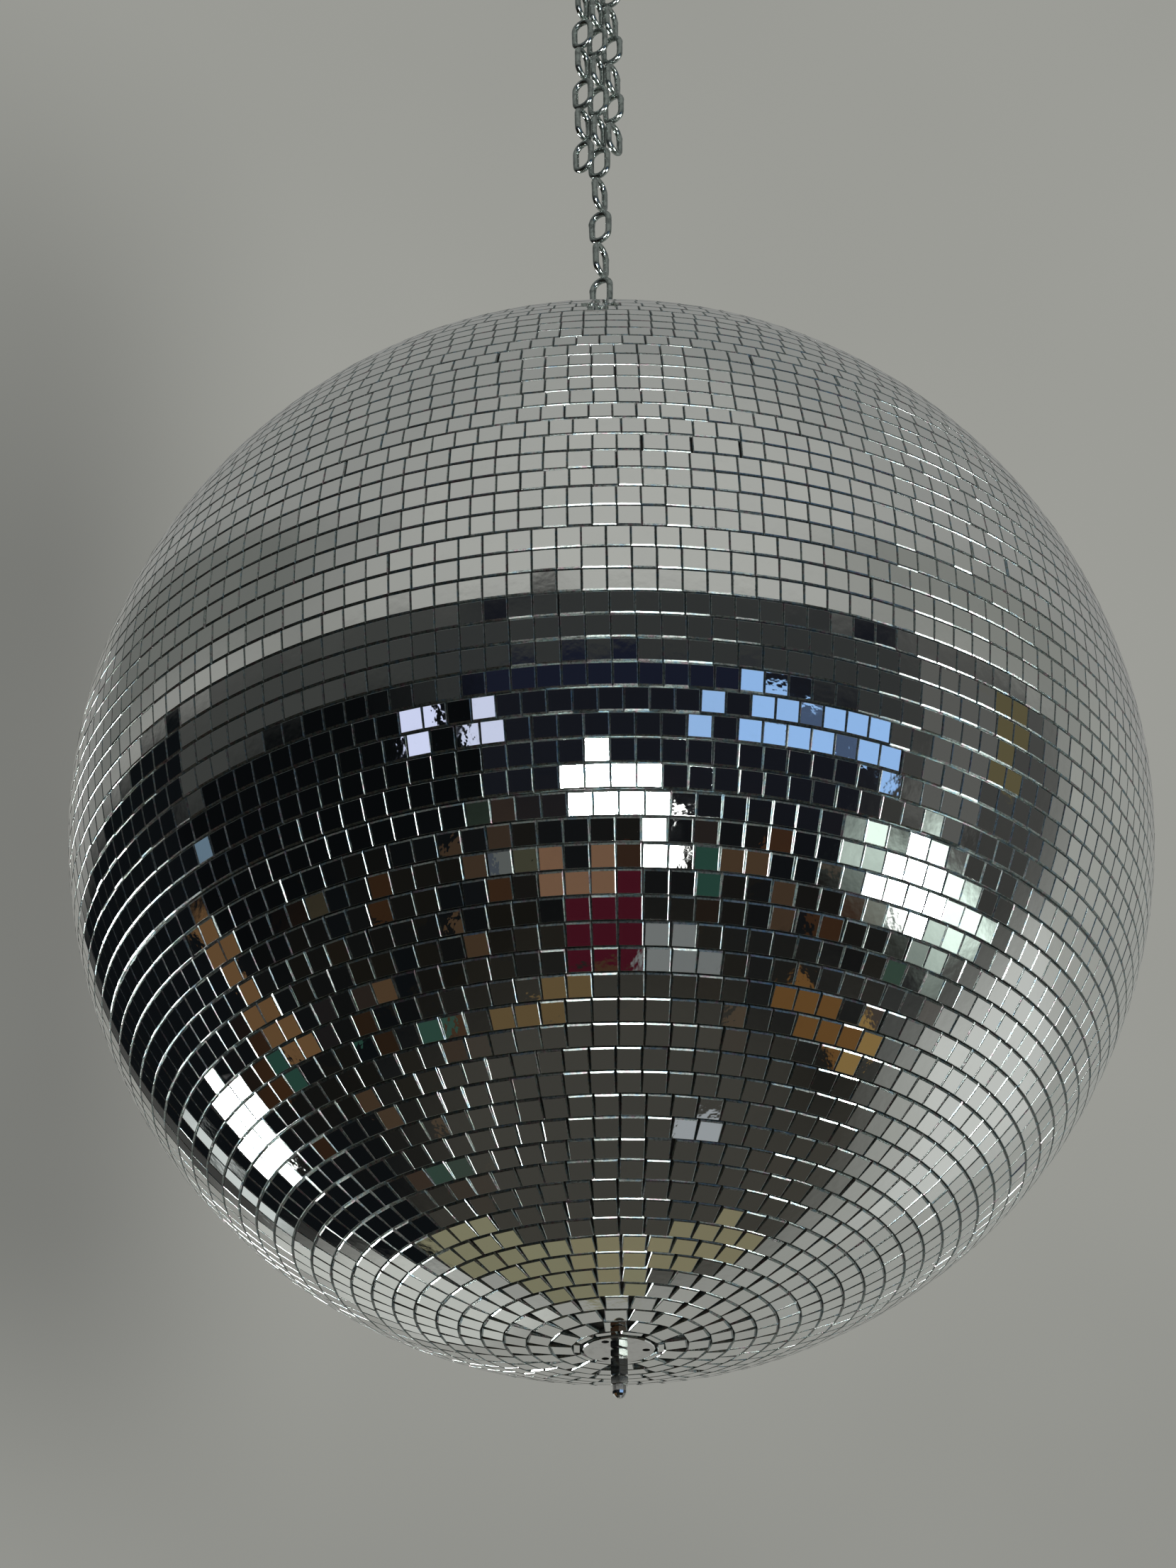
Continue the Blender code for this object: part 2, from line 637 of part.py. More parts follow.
# ================================================================== the object
def main():
    """Build the object from the top down."""
    link = link_curve()
    add_screw_link()
    last_link = add_strand(link)
    for side in TAIL_LINKS:
        add_tail(side, link)
    eye = add_swivel_eye(last_link)
    bpy.context.view_layer.update()
    spinning = empty("ball_spin", eye, eye.matrix_world.inverted() @ shift_z(BALL_Z))
    add_swivel_housing(eye, spinning)
    upper = empty("upper_pole", spinning, Matrix.Identity(4))
    lower = empty("lower_pole", spinning, Matrix.Rotation(math.pi, 4, "X"))
    add_pole_fittings("top", upper)
    seat = add_pole_fittings("bottom", lower)
    add_centre_rod(spinning, add_end_nuts(lower, seat))
    add_core_shell("upper_core_shell", upper)
    add_core_shell("lower_core_shell", lower)
    add_equator_band(spinning)
    add_mirror_skin("upper_mirror_skin", upper, 11)
    add_mirror_skin("lower_mirror_skin", lower, 12)


main()
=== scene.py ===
"""Looks of the mirror ball: its tiles, core, chain and fittings, and the room that they reflect.

The CAD model is the fixed frame. Lengths are metres, angles are degrees where a name ends in
``_deg``, and the origin is where the ceiling hook bears in the screw link above the chain.
"""

from __future__ import annotations

import json
import logging
import math
import random
from dataclasses import dataclass, field
from enum import Enum

import bpy
import numpy as np
from mathutils import Matrix, Vector


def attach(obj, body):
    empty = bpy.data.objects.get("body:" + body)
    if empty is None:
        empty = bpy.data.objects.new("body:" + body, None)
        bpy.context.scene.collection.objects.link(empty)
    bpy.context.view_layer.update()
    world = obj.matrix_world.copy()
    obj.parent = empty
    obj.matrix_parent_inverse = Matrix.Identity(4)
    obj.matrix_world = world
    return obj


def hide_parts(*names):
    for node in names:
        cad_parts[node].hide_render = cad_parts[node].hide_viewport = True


log = logging.getLogger("mirror_ball")

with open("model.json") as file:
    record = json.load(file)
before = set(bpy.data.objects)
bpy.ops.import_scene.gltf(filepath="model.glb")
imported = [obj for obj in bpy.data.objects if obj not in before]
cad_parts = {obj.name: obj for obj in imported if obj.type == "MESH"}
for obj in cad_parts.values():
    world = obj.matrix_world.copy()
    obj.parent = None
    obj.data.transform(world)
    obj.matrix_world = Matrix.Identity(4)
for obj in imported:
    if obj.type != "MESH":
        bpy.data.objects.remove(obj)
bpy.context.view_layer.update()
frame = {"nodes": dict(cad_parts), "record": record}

BALL_CENTRE = Vector((0.0, 0.0, -0.6674503))
FRONT, CUT, BACK = range(3)           # material slots of a tile
MERGE = 1e-6                          # corners closer than this become one

Colour = tuple[float, float, float]
Grain = tuple[float, float, float]    # scale, detail and roughness of a noise
Limits = tuple[float, float]          # a blend starts at the first and ends at the second
Stops = tuple[tuple[float, Colour], ...]
Object = bpy.types.Object
Socket = bpy.types.NodeSocket
Tree = bpy.types.NodeTree


class Body(str, Enum):
    """Bodies of the CAD model that the pieces ride on."""

    HANGER = "hanger"
    FIRST_DROP = "drop_link_1"
    STRAND = "drop_strand"
    LAST_DROP = "drop_link_6"
    EYE = "swivel_eye"
    BALL = "ball"


class Slot(str, Enum):
    """Material slots of the record."""

    TILES = "mirror_tiles"
    ZINC = "zinc_steel"
    PLASTIC = "core_plastic"


class Half(Enum):
    """The two halves of the ball, by the sign of their rows' latitudes."""

    UPPER = 1
    LOWER = -1


# ---- nodes
class Sheet:
    """Adds and links the nodes of one node tree."""

    def __init__(self, tree: Tree) -> None:
        """Start on a tree.

        Args:
            tree: The tree to add nodes to.
        """
        self.tree = tree

    def feed(self, node: bpy.types.Node, inputs: dict) -> None:
        """Set or link a node's inputs.

        Args:
            node: The node.
            inputs: Values, or sockets to link, by the name or number of the input. A colour
                may leave out its alpha.
        """
        for name, value in inputs.items():
            socket = node.inputs[name]
            if isinstance(value, Socket):
                self.tree.links.new(value, socket)
            elif socket.type == "RGBA" and len(value) == 3:
                socket.default_value = (*value, 1.0)
            else:
                socket.default_value = value

    def add(self, kind: str, inputs: dict | None = None, **settings: object) -> bpy.types.Node:
        """Add a node.

        Args:
            kind: The node's type name, without its ShaderNode prefix.
            inputs: Values, or sockets to link, by the name or number of the input.
            settings: Properties of the node.

        Returns:
            The node.
        """
        node = self.tree.nodes.new("ShaderNode" + kind)
        for name, value in settings.items():
            setattr(node, name, value)
        self.feed(node, inputs or {})
        return node

    def math(self, operation: str, *values: object, clamp: bool = False) -> Socket:
        """Combine numbers or sockets with a Math node.

        Args:
            operation: The operation's name.
            values: Its operands.
            clamp: Whether the result is kept between 0 and 1.

        Returns:
            The result's socket.
        """
        return self.add("Math", dict(enumerate(values)), operation=operation,
                        use_clamp=clamp).outputs[0]

    def dot(self, a: object, b: object) -> Socket:
        """Dot product of two vectors."""
        return self.add("VectorMath", {0: a, 1: b}, operation="DOT_PRODUCT").outputs["Value"]

    def mix(self, factor: object, a: object, b: object, blend: str = "MIX") -> Socket:
        """Blend two colours.

        Args:
            factor: How much of the second colour.
            a: The first colour.
            b: The second colour.
            blend: The way they are blended.

        Returns:
            The colour's socket.
        """
        return self.add("Mix", {0: factor, 6: a, 7: b}, data_type="RGBA",
                        blend_type=blend).outputs[2]

    def ramp(self, factor: Socket, stops: Stops) -> Socket:
        """Map a number to a colour.

        Args:
            factor: The number.
            stops: Positions with their colours.

        Returns:
            The colour's socket.
        """
        node = self.add("ValToRGB", {0: factor})
        points = node.color_ramp.elements
        while len(points) < len(stops):
            points.new(0.5)
        for point, (position, colour) in zip(points, stops):
            point.position = position
            point.color = (*colour, 1.0)
        return node.outputs[0]

    def smooth(self, value: object, low: object, high: object) -> Socket:
        """Rise smoothly from 0 at the low value to 1 at the high one."""
        return self.add("MapRange", {0: value, 1: low, 2: high},
                        interpolation_type="SMOOTHSTEP").outputs[0]

    def noise(self, vector: object, scale: object, detail: float = 2.0,
              roughness: float = 0.5) -> Socket:
        """Noise between 0 and 1 at a scale in turns to the metre."""
        return self.add("TexNoise", {"Vector": vector, "Scale": scale, "Detail": detail,
                                     "Roughness": roughness}).outputs[0]

    def bump(self, height: object, strength: float, depth: float) -> Socket:
        """Normal of a surface whose height, from 0 to 1, stands for a depth in metres."""
        return self.add("Bump", {"Strength": strength, "Distance": depth,
                                 "Height": height}).outputs[0]


def shader_group(name: str, inputs: dict[str, tuple[str, object]], outputs: dict[str, str]
                 ) -> tuple[Tree, Sheet, dict, dict]:
    """Start a shader node group.

    Args:
        name: The group's name.
        inputs: Kind of socket and default value, by the input's name.
        outputs: Kind of socket by the output's name.

    Returns:
        The group, a sheet on it, its inputs inside and its outputs inside, by name.
    """
    tree = bpy.data.node_groups.new(name, "ShaderNodeTree")
    for key, (kind, value) in inputs.items():
        socket = tree.interface.new_socket(key, in_out="INPUT", socket_type=kind)
        socket.default_value = value
    for key, kind in outputs.items():
        tree.interface.new_socket(key, in_out="OUTPUT", socket_type=kind)
    source = tree.nodes.new("NodeGroupInput")
    sink = tree.nodes.new("NodeGroupOutput")
    return tree, Sheet(tree), {k: source.outputs[k] for k in inputs}, {
        k: sink.inputs[k] for k in outputs}


def grime_group() -> Tree:
    """Group that gives a mask of thin dirt and a colour with slow variation.

    Returns:
        The group, with the outputs Mask, Colour and Height.
    """
    tree, sheet, given, wanted = shader_group(
        "grime",
        {"Colour": ("NodeSocketColor", (0.5, 0.5, 0.5, 1.0)),
         "Dirt": ("NodeSocketColor", (0.05, 0.045, 0.035, 1.0)),
         "Scale": ("NodeSocketFloat", 300.0),
         "Amount": ("NodeSocketFloat", 0.5)},
        {"Colour": "NodeSocketColor", "Mask": "NodeSocketFloat", "Height": "NodeSocketFloat"})
    fineness, fine_share, slow_share, pale = 6.0, 0.35, 0.35, (0.9, 0.9, 0.9)
    coarse_detail, coarse_roughness, fine_detail = 4.0, 0.6, 3.0
    dirty_from, dirty_to = 0.60, 0.95
    place = sheet.add("TexCoord").outputs["Object"]
    coarse = sheet.noise(place, given["Scale"], coarse_detail, coarse_roughness)
    fine = sheet.noise(place, sheet.math("MULTIPLY", given["Scale"], fineness), fine_detail)
    mask = sheet.smooth(sheet.math("MULTIPLY_ADD", fine, fine_share, coarse), dirty_from, dirty_to)
    mask = sheet.math("MULTIPLY", mask, given["Amount"], clamp=True)
    varied = sheet.mix(sheet.math("MULTIPLY", coarse, slow_share), given["Colour"], pale,
                       "MULTIPLY")
    results = {"Colour": sheet.mix(mask, varied, given["Dirt"]), "Mask": mask, "Height": fine}
    for name, result in results.items():
        sheet.tree.links.new(result, wanted[name])
    return tree


# ---- finishes
@dataclass(frozen=True)
class Finish:
    """A finish of this object. Each kind of surface is a subclass with its own nodes."""

    name: str
    colour: Colour
    roughness: float
    metallic: float = 0.0

    def material(self) -> bpy.types.Material:
        """Make the material.

        Returns:
            The material.
        """
        material = bpy.data.materials.new(self.name)
        material.use_nodes = True
        material.diffuse_color = (*self.colour, 1.0)
        sheet = Sheet(material.node_tree)
        shader = material.node_tree.nodes["Principled BSDF"]
        sheet.feed(shader, {"Base Color": self.colour, "Roughness": self.roughness,
                            "Metallic": self.metallic})
        sheet.feed(shader, self.wear(sheet))
        return material

    def wear(self, sheet: Sheet) -> dict:
        """Add the nodes of this kind of surface.

        Args:
            sheet: The sheet on the material's nodes.

        Returns:
            What they give the shader, by the name of its input.
        """
        raise NotImplementedError


@dataclass(frozen=True)
class SilveredGlass(Finish):
    """Front of a mirror tile: silver behind glass, thin dust, and silver lost along the edges."""

    clear: Colour = (0.93, 0.95, 0.93)          # of the tiles with the highest tint
    dusty: Colour = (0.55, 0.56, 0.56)
    bare: Colour = (0.10, 0.12, 0.12)           # where the silver is lost
    dust_share: float = 0.10
    dust_roughness: float = 0.035
    bare_share: float = 0.75
    bare_roughness: float = 0.25
    dusty_from: Limits = (0.52, 0.80)
    lost_edge: float = 0.030                    # width of the lost silver, in tiles
    aged_edge: float = 0.10                     # what aged tiles lose beyond that
    aged_from: Limits = (0.95, 1.35)
    age_share: float = 0.5                      # weight of a tile's place against its tint
    inner: float = 0.30                         # the lost edge's two limits, about the noise
    outer: float = 0.05
    waviness: float = 0.06
    wave_depth: float = 0.0002
    rag_grain: Grain = (900.0, 4.0, 0.7)
    age_grain: Grain = (9.0, 2.0, 0.5)
    dust_grain: Grain = (140.0, 5.0, 0.65)
    wave_grain: Grain = (260.0, 2.0, 0.4)

    def wear(self, sheet: Sheet) -> dict:
        """Add nodes on the tile's own UV map, its tint and its object coordinates.

        Args:
            sheet: The sheet on the material's nodes.

        Returns:
            What they give the shader, by the name of its input.
        """
        coordinates = sheet.add("TexCoord")
        across = sheet.add("SeparateXYZ", {0: coordinates.outputs["UV"]})
        tint = sheet.add("Attribute", attribute_name="tile_tint").outputs["Fac"]
        ragged, age, dust, wave = (
            sheet.noise(coordinates.outputs["Object"], *grain) for grain in (
                self.rag_grain, self.age_grain, self.dust_grain, self.wave_grain))
        edge = sheet.math("MINIMUM", *(sheet.math("SUBTRACT", 0.5, sheet.math(
            "ABSOLUTE", sheet.math("SUBTRACT", across.outputs[i], 0.5))) for i in (0, 1)))
        age = sheet.math("ADD", tint, sheet.math("MULTIPLY", age, self.age_share))
        reach = sheet.math("MULTIPLY", sheet.smooth(age, *self.aged_from), self.aged_edge)
        reach = sheet.math("ADD", reach, self.lost_edge)
        lost = sheet.math("SUBTRACT", 1.0, sheet.smooth(
            edge, sheet.math("MULTIPLY", reach, sheet.math("SUBTRACT", ragged, self.inner)),
            sheet.math("MULTIPLY", reach, sheet.math("ADD", ragged, self.outer))))
        dust = sheet.smooth(dust, *self.dusty_from)
        silver = sheet.mix(tint, self.colour, self.clear)
        silver = sheet.mix(sheet.math("MULTIPLY", dust, self.dust_share), silver, self.dusty)
        silver = sheet.mix(sheet.math("MULTIPLY", lost, self.bare_share), silver, self.bare)
        rough = sheet.math("MULTIPLY_ADD", dust, self.dust_roughness, self.roughness)
        rough = sheet.math("MULTIPLY_ADD", lost, self.bare_roughness, rough)
        return {"Base Color": silver, "Roughness": rough,
                "Normal": sheet.bump(wave, self.waviness, self.wave_depth)}


@dataclass(frozen=True)
class CutGlass(Finish):
    """Cut edge of a mirror tile: dull green glass with small chips and a play of hues."""

    chipped: Colour = (0.14, 0.16, 0.155)
    chipped_from: Limits = (0.55, 0.35)
    chip_roughness: float = 0.12
    chip_strength: float = 0.25
    chip_depth: float = 0.0001
    chip_grain: Grain = (1100.0, 3.0, 0.7)
    hue_grain: Grain = (420.0, 1.0, 0.5)
    hues: Stops = ((0.30, (0.33, 0.25, 0.28)), (0.42, (0.34, 0.37, 0.36)),
                   (0.56, (0.30, 0.36, 0.34)), (0.66, (0.22, 0.31, 0.37)))

    def wear(self, sheet: Sheet) -> dict:
        """Add nodes on the object coordinates.

        Args:
            sheet: The sheet on the material's nodes.

        Returns:
            What they give the shader, by the name of its input.
        """
        place = sheet.add("TexCoord").outputs["Object"]
        chips = sheet.noise(place, *self.chip_grain)
        colour = sheet.ramp(sheet.noise(place, *self.hue_grain), self.hues)
        colour = sheet.mix(sheet.smooth(chips, *self.chipped_from), colour, self.chipped)
        return {
            "Base Color": colour,
            "Roughness": sheet.math("MULTIPLY_ADD", chips, self.chip_roughness, self.roughness),
            "Normal": sheet.bump(chips, self.chip_strength, self.chip_depth)}


@dataclass(frozen=True)
class Metal(Finish):
    """Plated or polished steel with dirt, slow changes of tone and a fine grain."""

    dirt: Colour = (0.05, 0.045, 0.035)
    scale: float = 300.0
    amount: float = 0.5
    grain: float = 0.10
    grain_depth: float = 0.0001
    dirt_roughness: float = 0.35
    dirt_metallic: float = -0.45

    def wear(self, sheet: Sheet) -> dict:
        """Add the shared grime group.

        Args:
            sheet: The sheet on the material's nodes.

        Returns:
            What they give the shader, by the name of its input.
        """
        grime = sheet.add("Group", {
            "Colour": self.colour, "Dirt": self.dirt, "Scale": self.scale,
            "Amount": self.amount}, node_tree=bpy.data.node_groups["grime"]).outputs
        dull, mask = self.dirt_metallic * self.metallic, grime["Mask"]
        return {
            "Base Color": grime["Colour"],
            "Roughness": sheet.math("MULTIPLY_ADD", mask, self.dirt_roughness, self.roughness),
            "Metallic": sheet.math("MULTIPLY_ADD", mask, dull, self.metallic),
            "Normal": sheet.bump(grime["Height"], self.grain, self.grain_depth)}


@dataclass(frozen=True)
class Moulded(Finish):
    """Matt moulded plastic or paint with a fine pebbled surface and dust."""

    dust: Colour = (0.22, 0.21, 0.19)
    dust_share: float = 0.35
    dust_roughness: float = 0.2
    dust_from: Limits = (0.50, 0.85)
    dust_grain: Grain = (60.0, 5.0, 0.65)
    pebbling: float = 0.2
    pebble_depth: float = 0.0002
    pebble_grain: Grain = (2500.0, 2.0, 0.5)

    def wear(self, sheet: Sheet) -> dict:
        """Add nodes on the object coordinates.

        Args:
            sheet: The sheet on the material's nodes.

        Returns:
            What they give the shader, by the name of its input.
        """
        place = sheet.add("TexCoord").outputs["Object"]
        dust = sheet.smooth(sheet.noise(place, *self.dust_grain), *self.dust_from)
        pebbles = sheet.noise(place, *self.pebble_grain)
        return {
            "Base Color": sheet.mix(sheet.math("MULTIPLY", dust, self.dust_share),
                                    self.colour, self.dust),
            "Roughness": sheet.math("MULTIPLY_ADD", dust, self.dust_roughness, self.roughness),
            "Normal": sheet.bump(pebbles, self.pebbling, self.pebble_depth)}


class Finishes:
    """The object's materials, each made once."""

    def __init__(self) -> None:
        """Make the shared group and all the materials."""
        grime_group()
        self.silver = SilveredGlass("silvered_glass", (0.86, 0.88, 0.87), 0.012, 1.0).material()
        self.cut_glass = CutGlass("cut_glass", (0.34, 0.37, 0.36), 0.29, 0.92).material()
        self.backing = Moulded("tile_backing", (0.10, 0.085, 0.075), 0.6).material()
        self.core = Moulded("core_plastic", (0.012, 0.012, 0.014), 0.5).material()
        self.chain = Metal("chain_zinc", (0.36, 0.41, 0.395), 0.27, 1.0, (0.045, 0.055, 0.055),
                           260.0, 0.60, 0.15).material()
        self.zinc = Metal("bright_zinc", (0.62, 0.62, 0.60), 0.24, 1.0, amount=0.4).material()
        self.polished = Metal("polished_steel", (0.82, 0.83, 0.82), 0.07, 1.0, scale=220.0,
                              amount=0.18, grain=0.03).material()
        self.bronze = Metal("bronze", (0.52, 0.33, 0.15), 0.32, 1.0).material()


# ---- modelling
def clear_selection() -> None:
    """Leave edit mode and deselect everything."""
    if bpy.context.mode != "OBJECT":
        bpy.ops.object.mode_set(mode="OBJECT")
    bpy.ops.object.select_all(action="DESELECT")


def activate(obj: Object) -> None:
    """Make one object the only selected one and the active one."""
    clear_selection()
    obj.select_set(True)
    bpy.context.view_layer.objects.active = obj


def edit_all(obj: Object) -> None:
    """Enter edit mode on an object with everything selected."""
    activate(obj)
    bpy.ops.object.mode_set(mode="EDIT")
    bpy.ops.mesh.select_all(action="SELECT")


def object_mode() -> None:
    """Leave edit mode."""
    bpy.ops.object.mode_set(mode="OBJECT")


def named(name: str) -> Object:
    """Name the object that an operator has just added.

    Args:
        name: Its new name.

    Returns:
        The object.
    """
    obj = bpy.context.object
    obj.name = name
    obj.data.name = name
    return obj


def apply_modifier(obj: Object, kind: str, **settings: object) -> None:
    """Add a modifier with its settings and apply it.

    Args:
        obj: The object.
        kind: The modifier's type.
        settings: Its properties.
    """
    activate(obj)
    modifier = obj.modifiers.new(kind.lower(), kind)
    for name, value in settings.items():
        setattr(modifier, name, value)
    bpy.ops.object.modifier_apply(modifier=modifier.name)


def settle(obj: Object) -> None:
    """Put an object's place into its mesh, so that the object sits at the origin."""
    activate(obj)
    bpy.ops.object.transform_apply(location=True, rotation=True, scale=True)


def cut_level(height: float, **settings: bool) -> None:
    """Cut the mesh in edit mode level at a height.

    Args:
        height: The height.
        settings: Which side goes.
    """
    bpy.ops.mesh.select_all(action="SELECT")
    bpy.ops.mesh.bisect(plane_co=(0.0, 0.0, height), plane_no=(0.0, 0.0, 1.0), **settings)


def smooth_by_angle(obj: Object, angle_deg: float = 32.0) -> None:
    """Smooth the shading over all edges flatter than the angle."""
    activate(obj)
    bpy.ops.object.shade_smooth_by_angle(angle=math.radians(angle_deg))


def finish_piece(obj: Object, material: bpy.types.Material | list, body: Body,
                 slot: Slot, *nodes: str) -> Object:
    """Dress a piece, put it on its body and hide the CAD nodes that it stands for.

    Args:
        obj: The piece.
        material: Its material or materials.
        body: The body that it rides on.
        slot: The record's material slot; not used.
        nodes: The CAD nodes that it stands for.

    Returns:
        The piece.
    """
    obj.data.materials.clear()
    for each in material if isinstance(material, list) else [material]:
        obj.data.materials.append(each)
    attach(obj, body.value)
    if nodes:
        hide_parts(*nodes)
    log.info("%s: %d faces on %s", obj.name, len(obj.data.polygons), body.value)
    return obj


# ---- tiles
@dataclass
class MirrorTiles:
    """The flat mirror tiles, laid in rows of latitude on both halves of the ball."""

    finishes: Finishes
    radius: float = 0.24962           # to the middle of a tile's face
    side: float = 0.0094
    thickness: float = 0.0018
    arris: float = 0.00095            # worn edge of the face along the row's joints
    far_share: float = 0.28           # its width on the tile's better edge, as a share of that
    turned_deg: float = -28.0         # below this latitude the better edge is the lower one
    column_share: float = 0.46        # its width along the other joints, as a share of that
    depth_share: float = 0.42         # its depth, as a share of its width
    arris_facets: int = 2
    facet_lean_deg: float = 38.0      # middle of the lean of its facets
    facet_fan: float = 0.58           # spread of their leans, as a share of a round edge's
    facet_spread_deg: float = 5.0     # how unevenly the edges of the tiles are worn
    facet_limit: float = 0.35         # most that a worn edge leans off the others, in radians
    row_pitch_deg: float = 2.22368
    last_row: int = 38
    joint: float = 0.00010            # least gap between two tiles of a row
    tilt_deg: float = 0.30            # spread of the tiles' tilts
    row_tilt_share: float = 0.6       # spread of the rows' common tilts, as a share of that
    twist_deg: float = 0.25
    sinking: float = 0.00003          # spread of the tiles' depths in the glue
    stray: float = 0.004              # spread of the tiles along their row, in tiles
    drift: float = 0.03               # spread of a row's shift from the last one's, in tiles
    front_deg: float = -90.0          # azimuth about which neighbouring rows were lined up
    new_line: float = 0.28            # chance that a row isn't lined up with the last one
    cut_row: float = 38.66            # row of short cut tiles beside each pole's plate
    cut_share: float = 0.28           # their length as a share of a whole tile's
    cut_width: float = 0.98           # and their width
    cut_count: int = 10
    wide_joints: int = 6
    wide_share: float = 0.65          # part of a row's slack that goes to its wide joints
    seed: int = 730

    @property
    def materials(self) -> list[bpy.types.Material]:
        """Materials of a tile's face, cut edge and back."""
        return [self.finishes.silver, self.finishes.cut_glass, self.finishes.backing]

    def model_tile(self) -> Object:
        """Model one tile with its face on the XY plane and its back below.

        Returns:
            The tile, with material slots for face, cut edge and back.
        """
        clear_selection()
        bpy.ops.mesh.primitive_cube_add(size=1.0, location=(0.0, 0.0, -self.thickness / 2))
        tile = named("tile")
        tile.scale = (self.side, self.side, self.thickness)
        settle(tile)
        for material in self.materials:
            tile.data.materials.append(material)
        self._wear(tile)
        self._unwrap(tile)
        return tile

    def _wear(self, tile: Object) -> None:
        """Bevel the edges of the tile's face, then flatten the bevel without its normals.

        Args:
            tile: The plain tile.
        """
        edit_all(tile)
        bpy.ops.mesh.select_mode(type="EDGE")
        bpy.ops.mesh.select_all(action="DESELECT")
        object_mode()
        mesh = tile.data
        for edge in mesh.edges:
            edge.select = all(mesh.vertices[v].co.z > -MERGE for v in edge.vertices)
        bpy.ops.object.mode_set(mode="EDIT")
        bpy.ops.mesh.bevel(offset=self.arris, segments=self.arris_facets, affect="EDGES")
        object_mode()
        normals, upright = [], 0.99
        for face in mesh.polygons:
            rise = face.normal.z
            face.material_index = FRONT if rise > upright else BACK if rise < -upright else CUT
            face.use_smooth = True
            normals += [face.normal.copy()] * face.loop_total
        half = self.side / 2
        for vertex in mesh.vertices:
            spot = vertex.co
            if spot.z > -self.thickness / 2:
                spot.z *= self.depth_share
                spot.x = math.copysign(half - (half - abs(spot.x)) * self.column_share, spot.x)
                if spot.y > 0.0:
                    spot.y = half - (half - spot.y) * self.far_share
        mesh.update()
        mesh.normals_split_custom_set(normals)

    def _unwrap(self, tile: Object) -> None:
        """Lay the tile's UV map flat over its whole side.

        Args:
            tile: The tile.
        """
        layer = tile.data.uv_layers.active or tile.data.uv_layers.new(name="face")
        for loop in tile.data.loops:
            spot = tile.data.vertices[loop.vertex_index].co
            layer.data[loop.index].uv = (spot.x / self.side + 0.5, spot.y / self.side + 0.5)

    def row_turns(self, row: int, shift: float, chance: random.Random) -> list[float]:
        """Azimuths of the tiles of one row, which closes with its wide joints.

        Args:
            row: The row's number from the equator, negative below it.
            shift: How far the row is shifted at the front, in tiles.
            chance: The source of the row's irregularities.

        Returns:
            Azimuths in radians.
        """
        latitude = math.radians(abs(row) * self.row_pitch_deg)
        edge = self.radius * math.cos(latitude) - self.side / 2 * math.sin(latitude)
        least = 2 * math.atan((self.side + self.joint) / 2 / edge)
        count = int(math.tau / least)
        slack = math.tau - count * least
        gaps = [least + slack * (1 - self.wide_share) / count] * count
        for _ in range(self.wide_joints):
            gaps[chance.randrange(count)] += slack * self.wide_share / self.wide_joints
        back = count // 2
        turn = math.radians(self.front_deg) + shift * least - sum(gaps[:back])
        turns = []
        for gap in gaps:
            turns.append(turn + chance.gauss(0.0, self.stray) * least)
            turn += gap
        return turns

    def places(self, half: Half) -> tuple[list[np.ndarray], list[float]]:
        """Places and tints of the tiles of one half. The row on the equator is in the lower one.

        Args:
            half: The half of the ball.

        Returns:
            A 4x4 matrix and a tint from 0 to 1 for each tile.
        """
        chance = random.Random(self.seed + half.value)
        first = 1 if half is Half.UPPER else 0
        shift = chance.random()
        matrices, tints = [], []
        for index in range(first, self.last_row + 1):
            row = index * half.value
            latitude = math.radians(row * self.row_pitch_deg)
            if chance.random() < self.new_line:
                shift = chance.random()
            shift += chance.gauss(0.0, self.drift)
            lean = chance.gauss(0.0, self.tilt_deg * self.row_tilt_share)
            for turn in self.row_turns(row, shift, chance):
                matrices.append(self._place(latitude, turn, lean, chance))
                tints.append(chance.random())
        latitude = math.radians(self.cut_row * self.row_pitch_deg * half.value)
        for index in range(self.cut_count):
            place = self._place(latitude, math.tau * index / self.cut_count, 0.0, chance)
            matrices.append(place @ np.diag((self.cut_width, self.cut_share, 1.0, 1.0)))
            tints.append(chance.random())
        return matrices, tints

    def _place(self, latitude: float, turn: float, lean: float, chance: random.Random
               ) -> np.ndarray:
        """Place one tile on the ball with its own small tilt, twist and height.

        Args:
            latitude: The row's latitude in radians.
            turn: The tile's azimuth in radians.
            lean: The tilt of the whole row in degrees.
            chance: The source of the tile's irregularities.

        Returns:
            A 4x4 matrix.
        """
        out = Vector((math.cos(turn) * math.cos(latitude), math.sin(turn) * math.cos(latitude),
                      math.sin(latitude)))
        east = Vector((-math.sin(turn), math.cos(turn), 0.0))
        north = out.cross(east)
        basis = Matrix((east, north, out)).transposed().to_4x4()
        about = math.pi if latitude < math.radians(self.turned_deg) else 0.0
        tilt = (Matrix.Rotation(math.radians(lean + chance.gauss(0.0, self.tilt_deg)), 4, "X")
                @ Matrix.Rotation(math.radians(chance.gauss(0.0, self.tilt_deg)), 4, "Y")
                @ Matrix.Rotation(about + math.radians(chance.gauss(0.0, self.twist_deg)), 4, "Z"))
        height = self.radius - abs(chance.gauss(0.0, self.sinking))
        return np.array(Matrix.Translation(BALL_CENTRE + out * height) @ basis @ tilt)

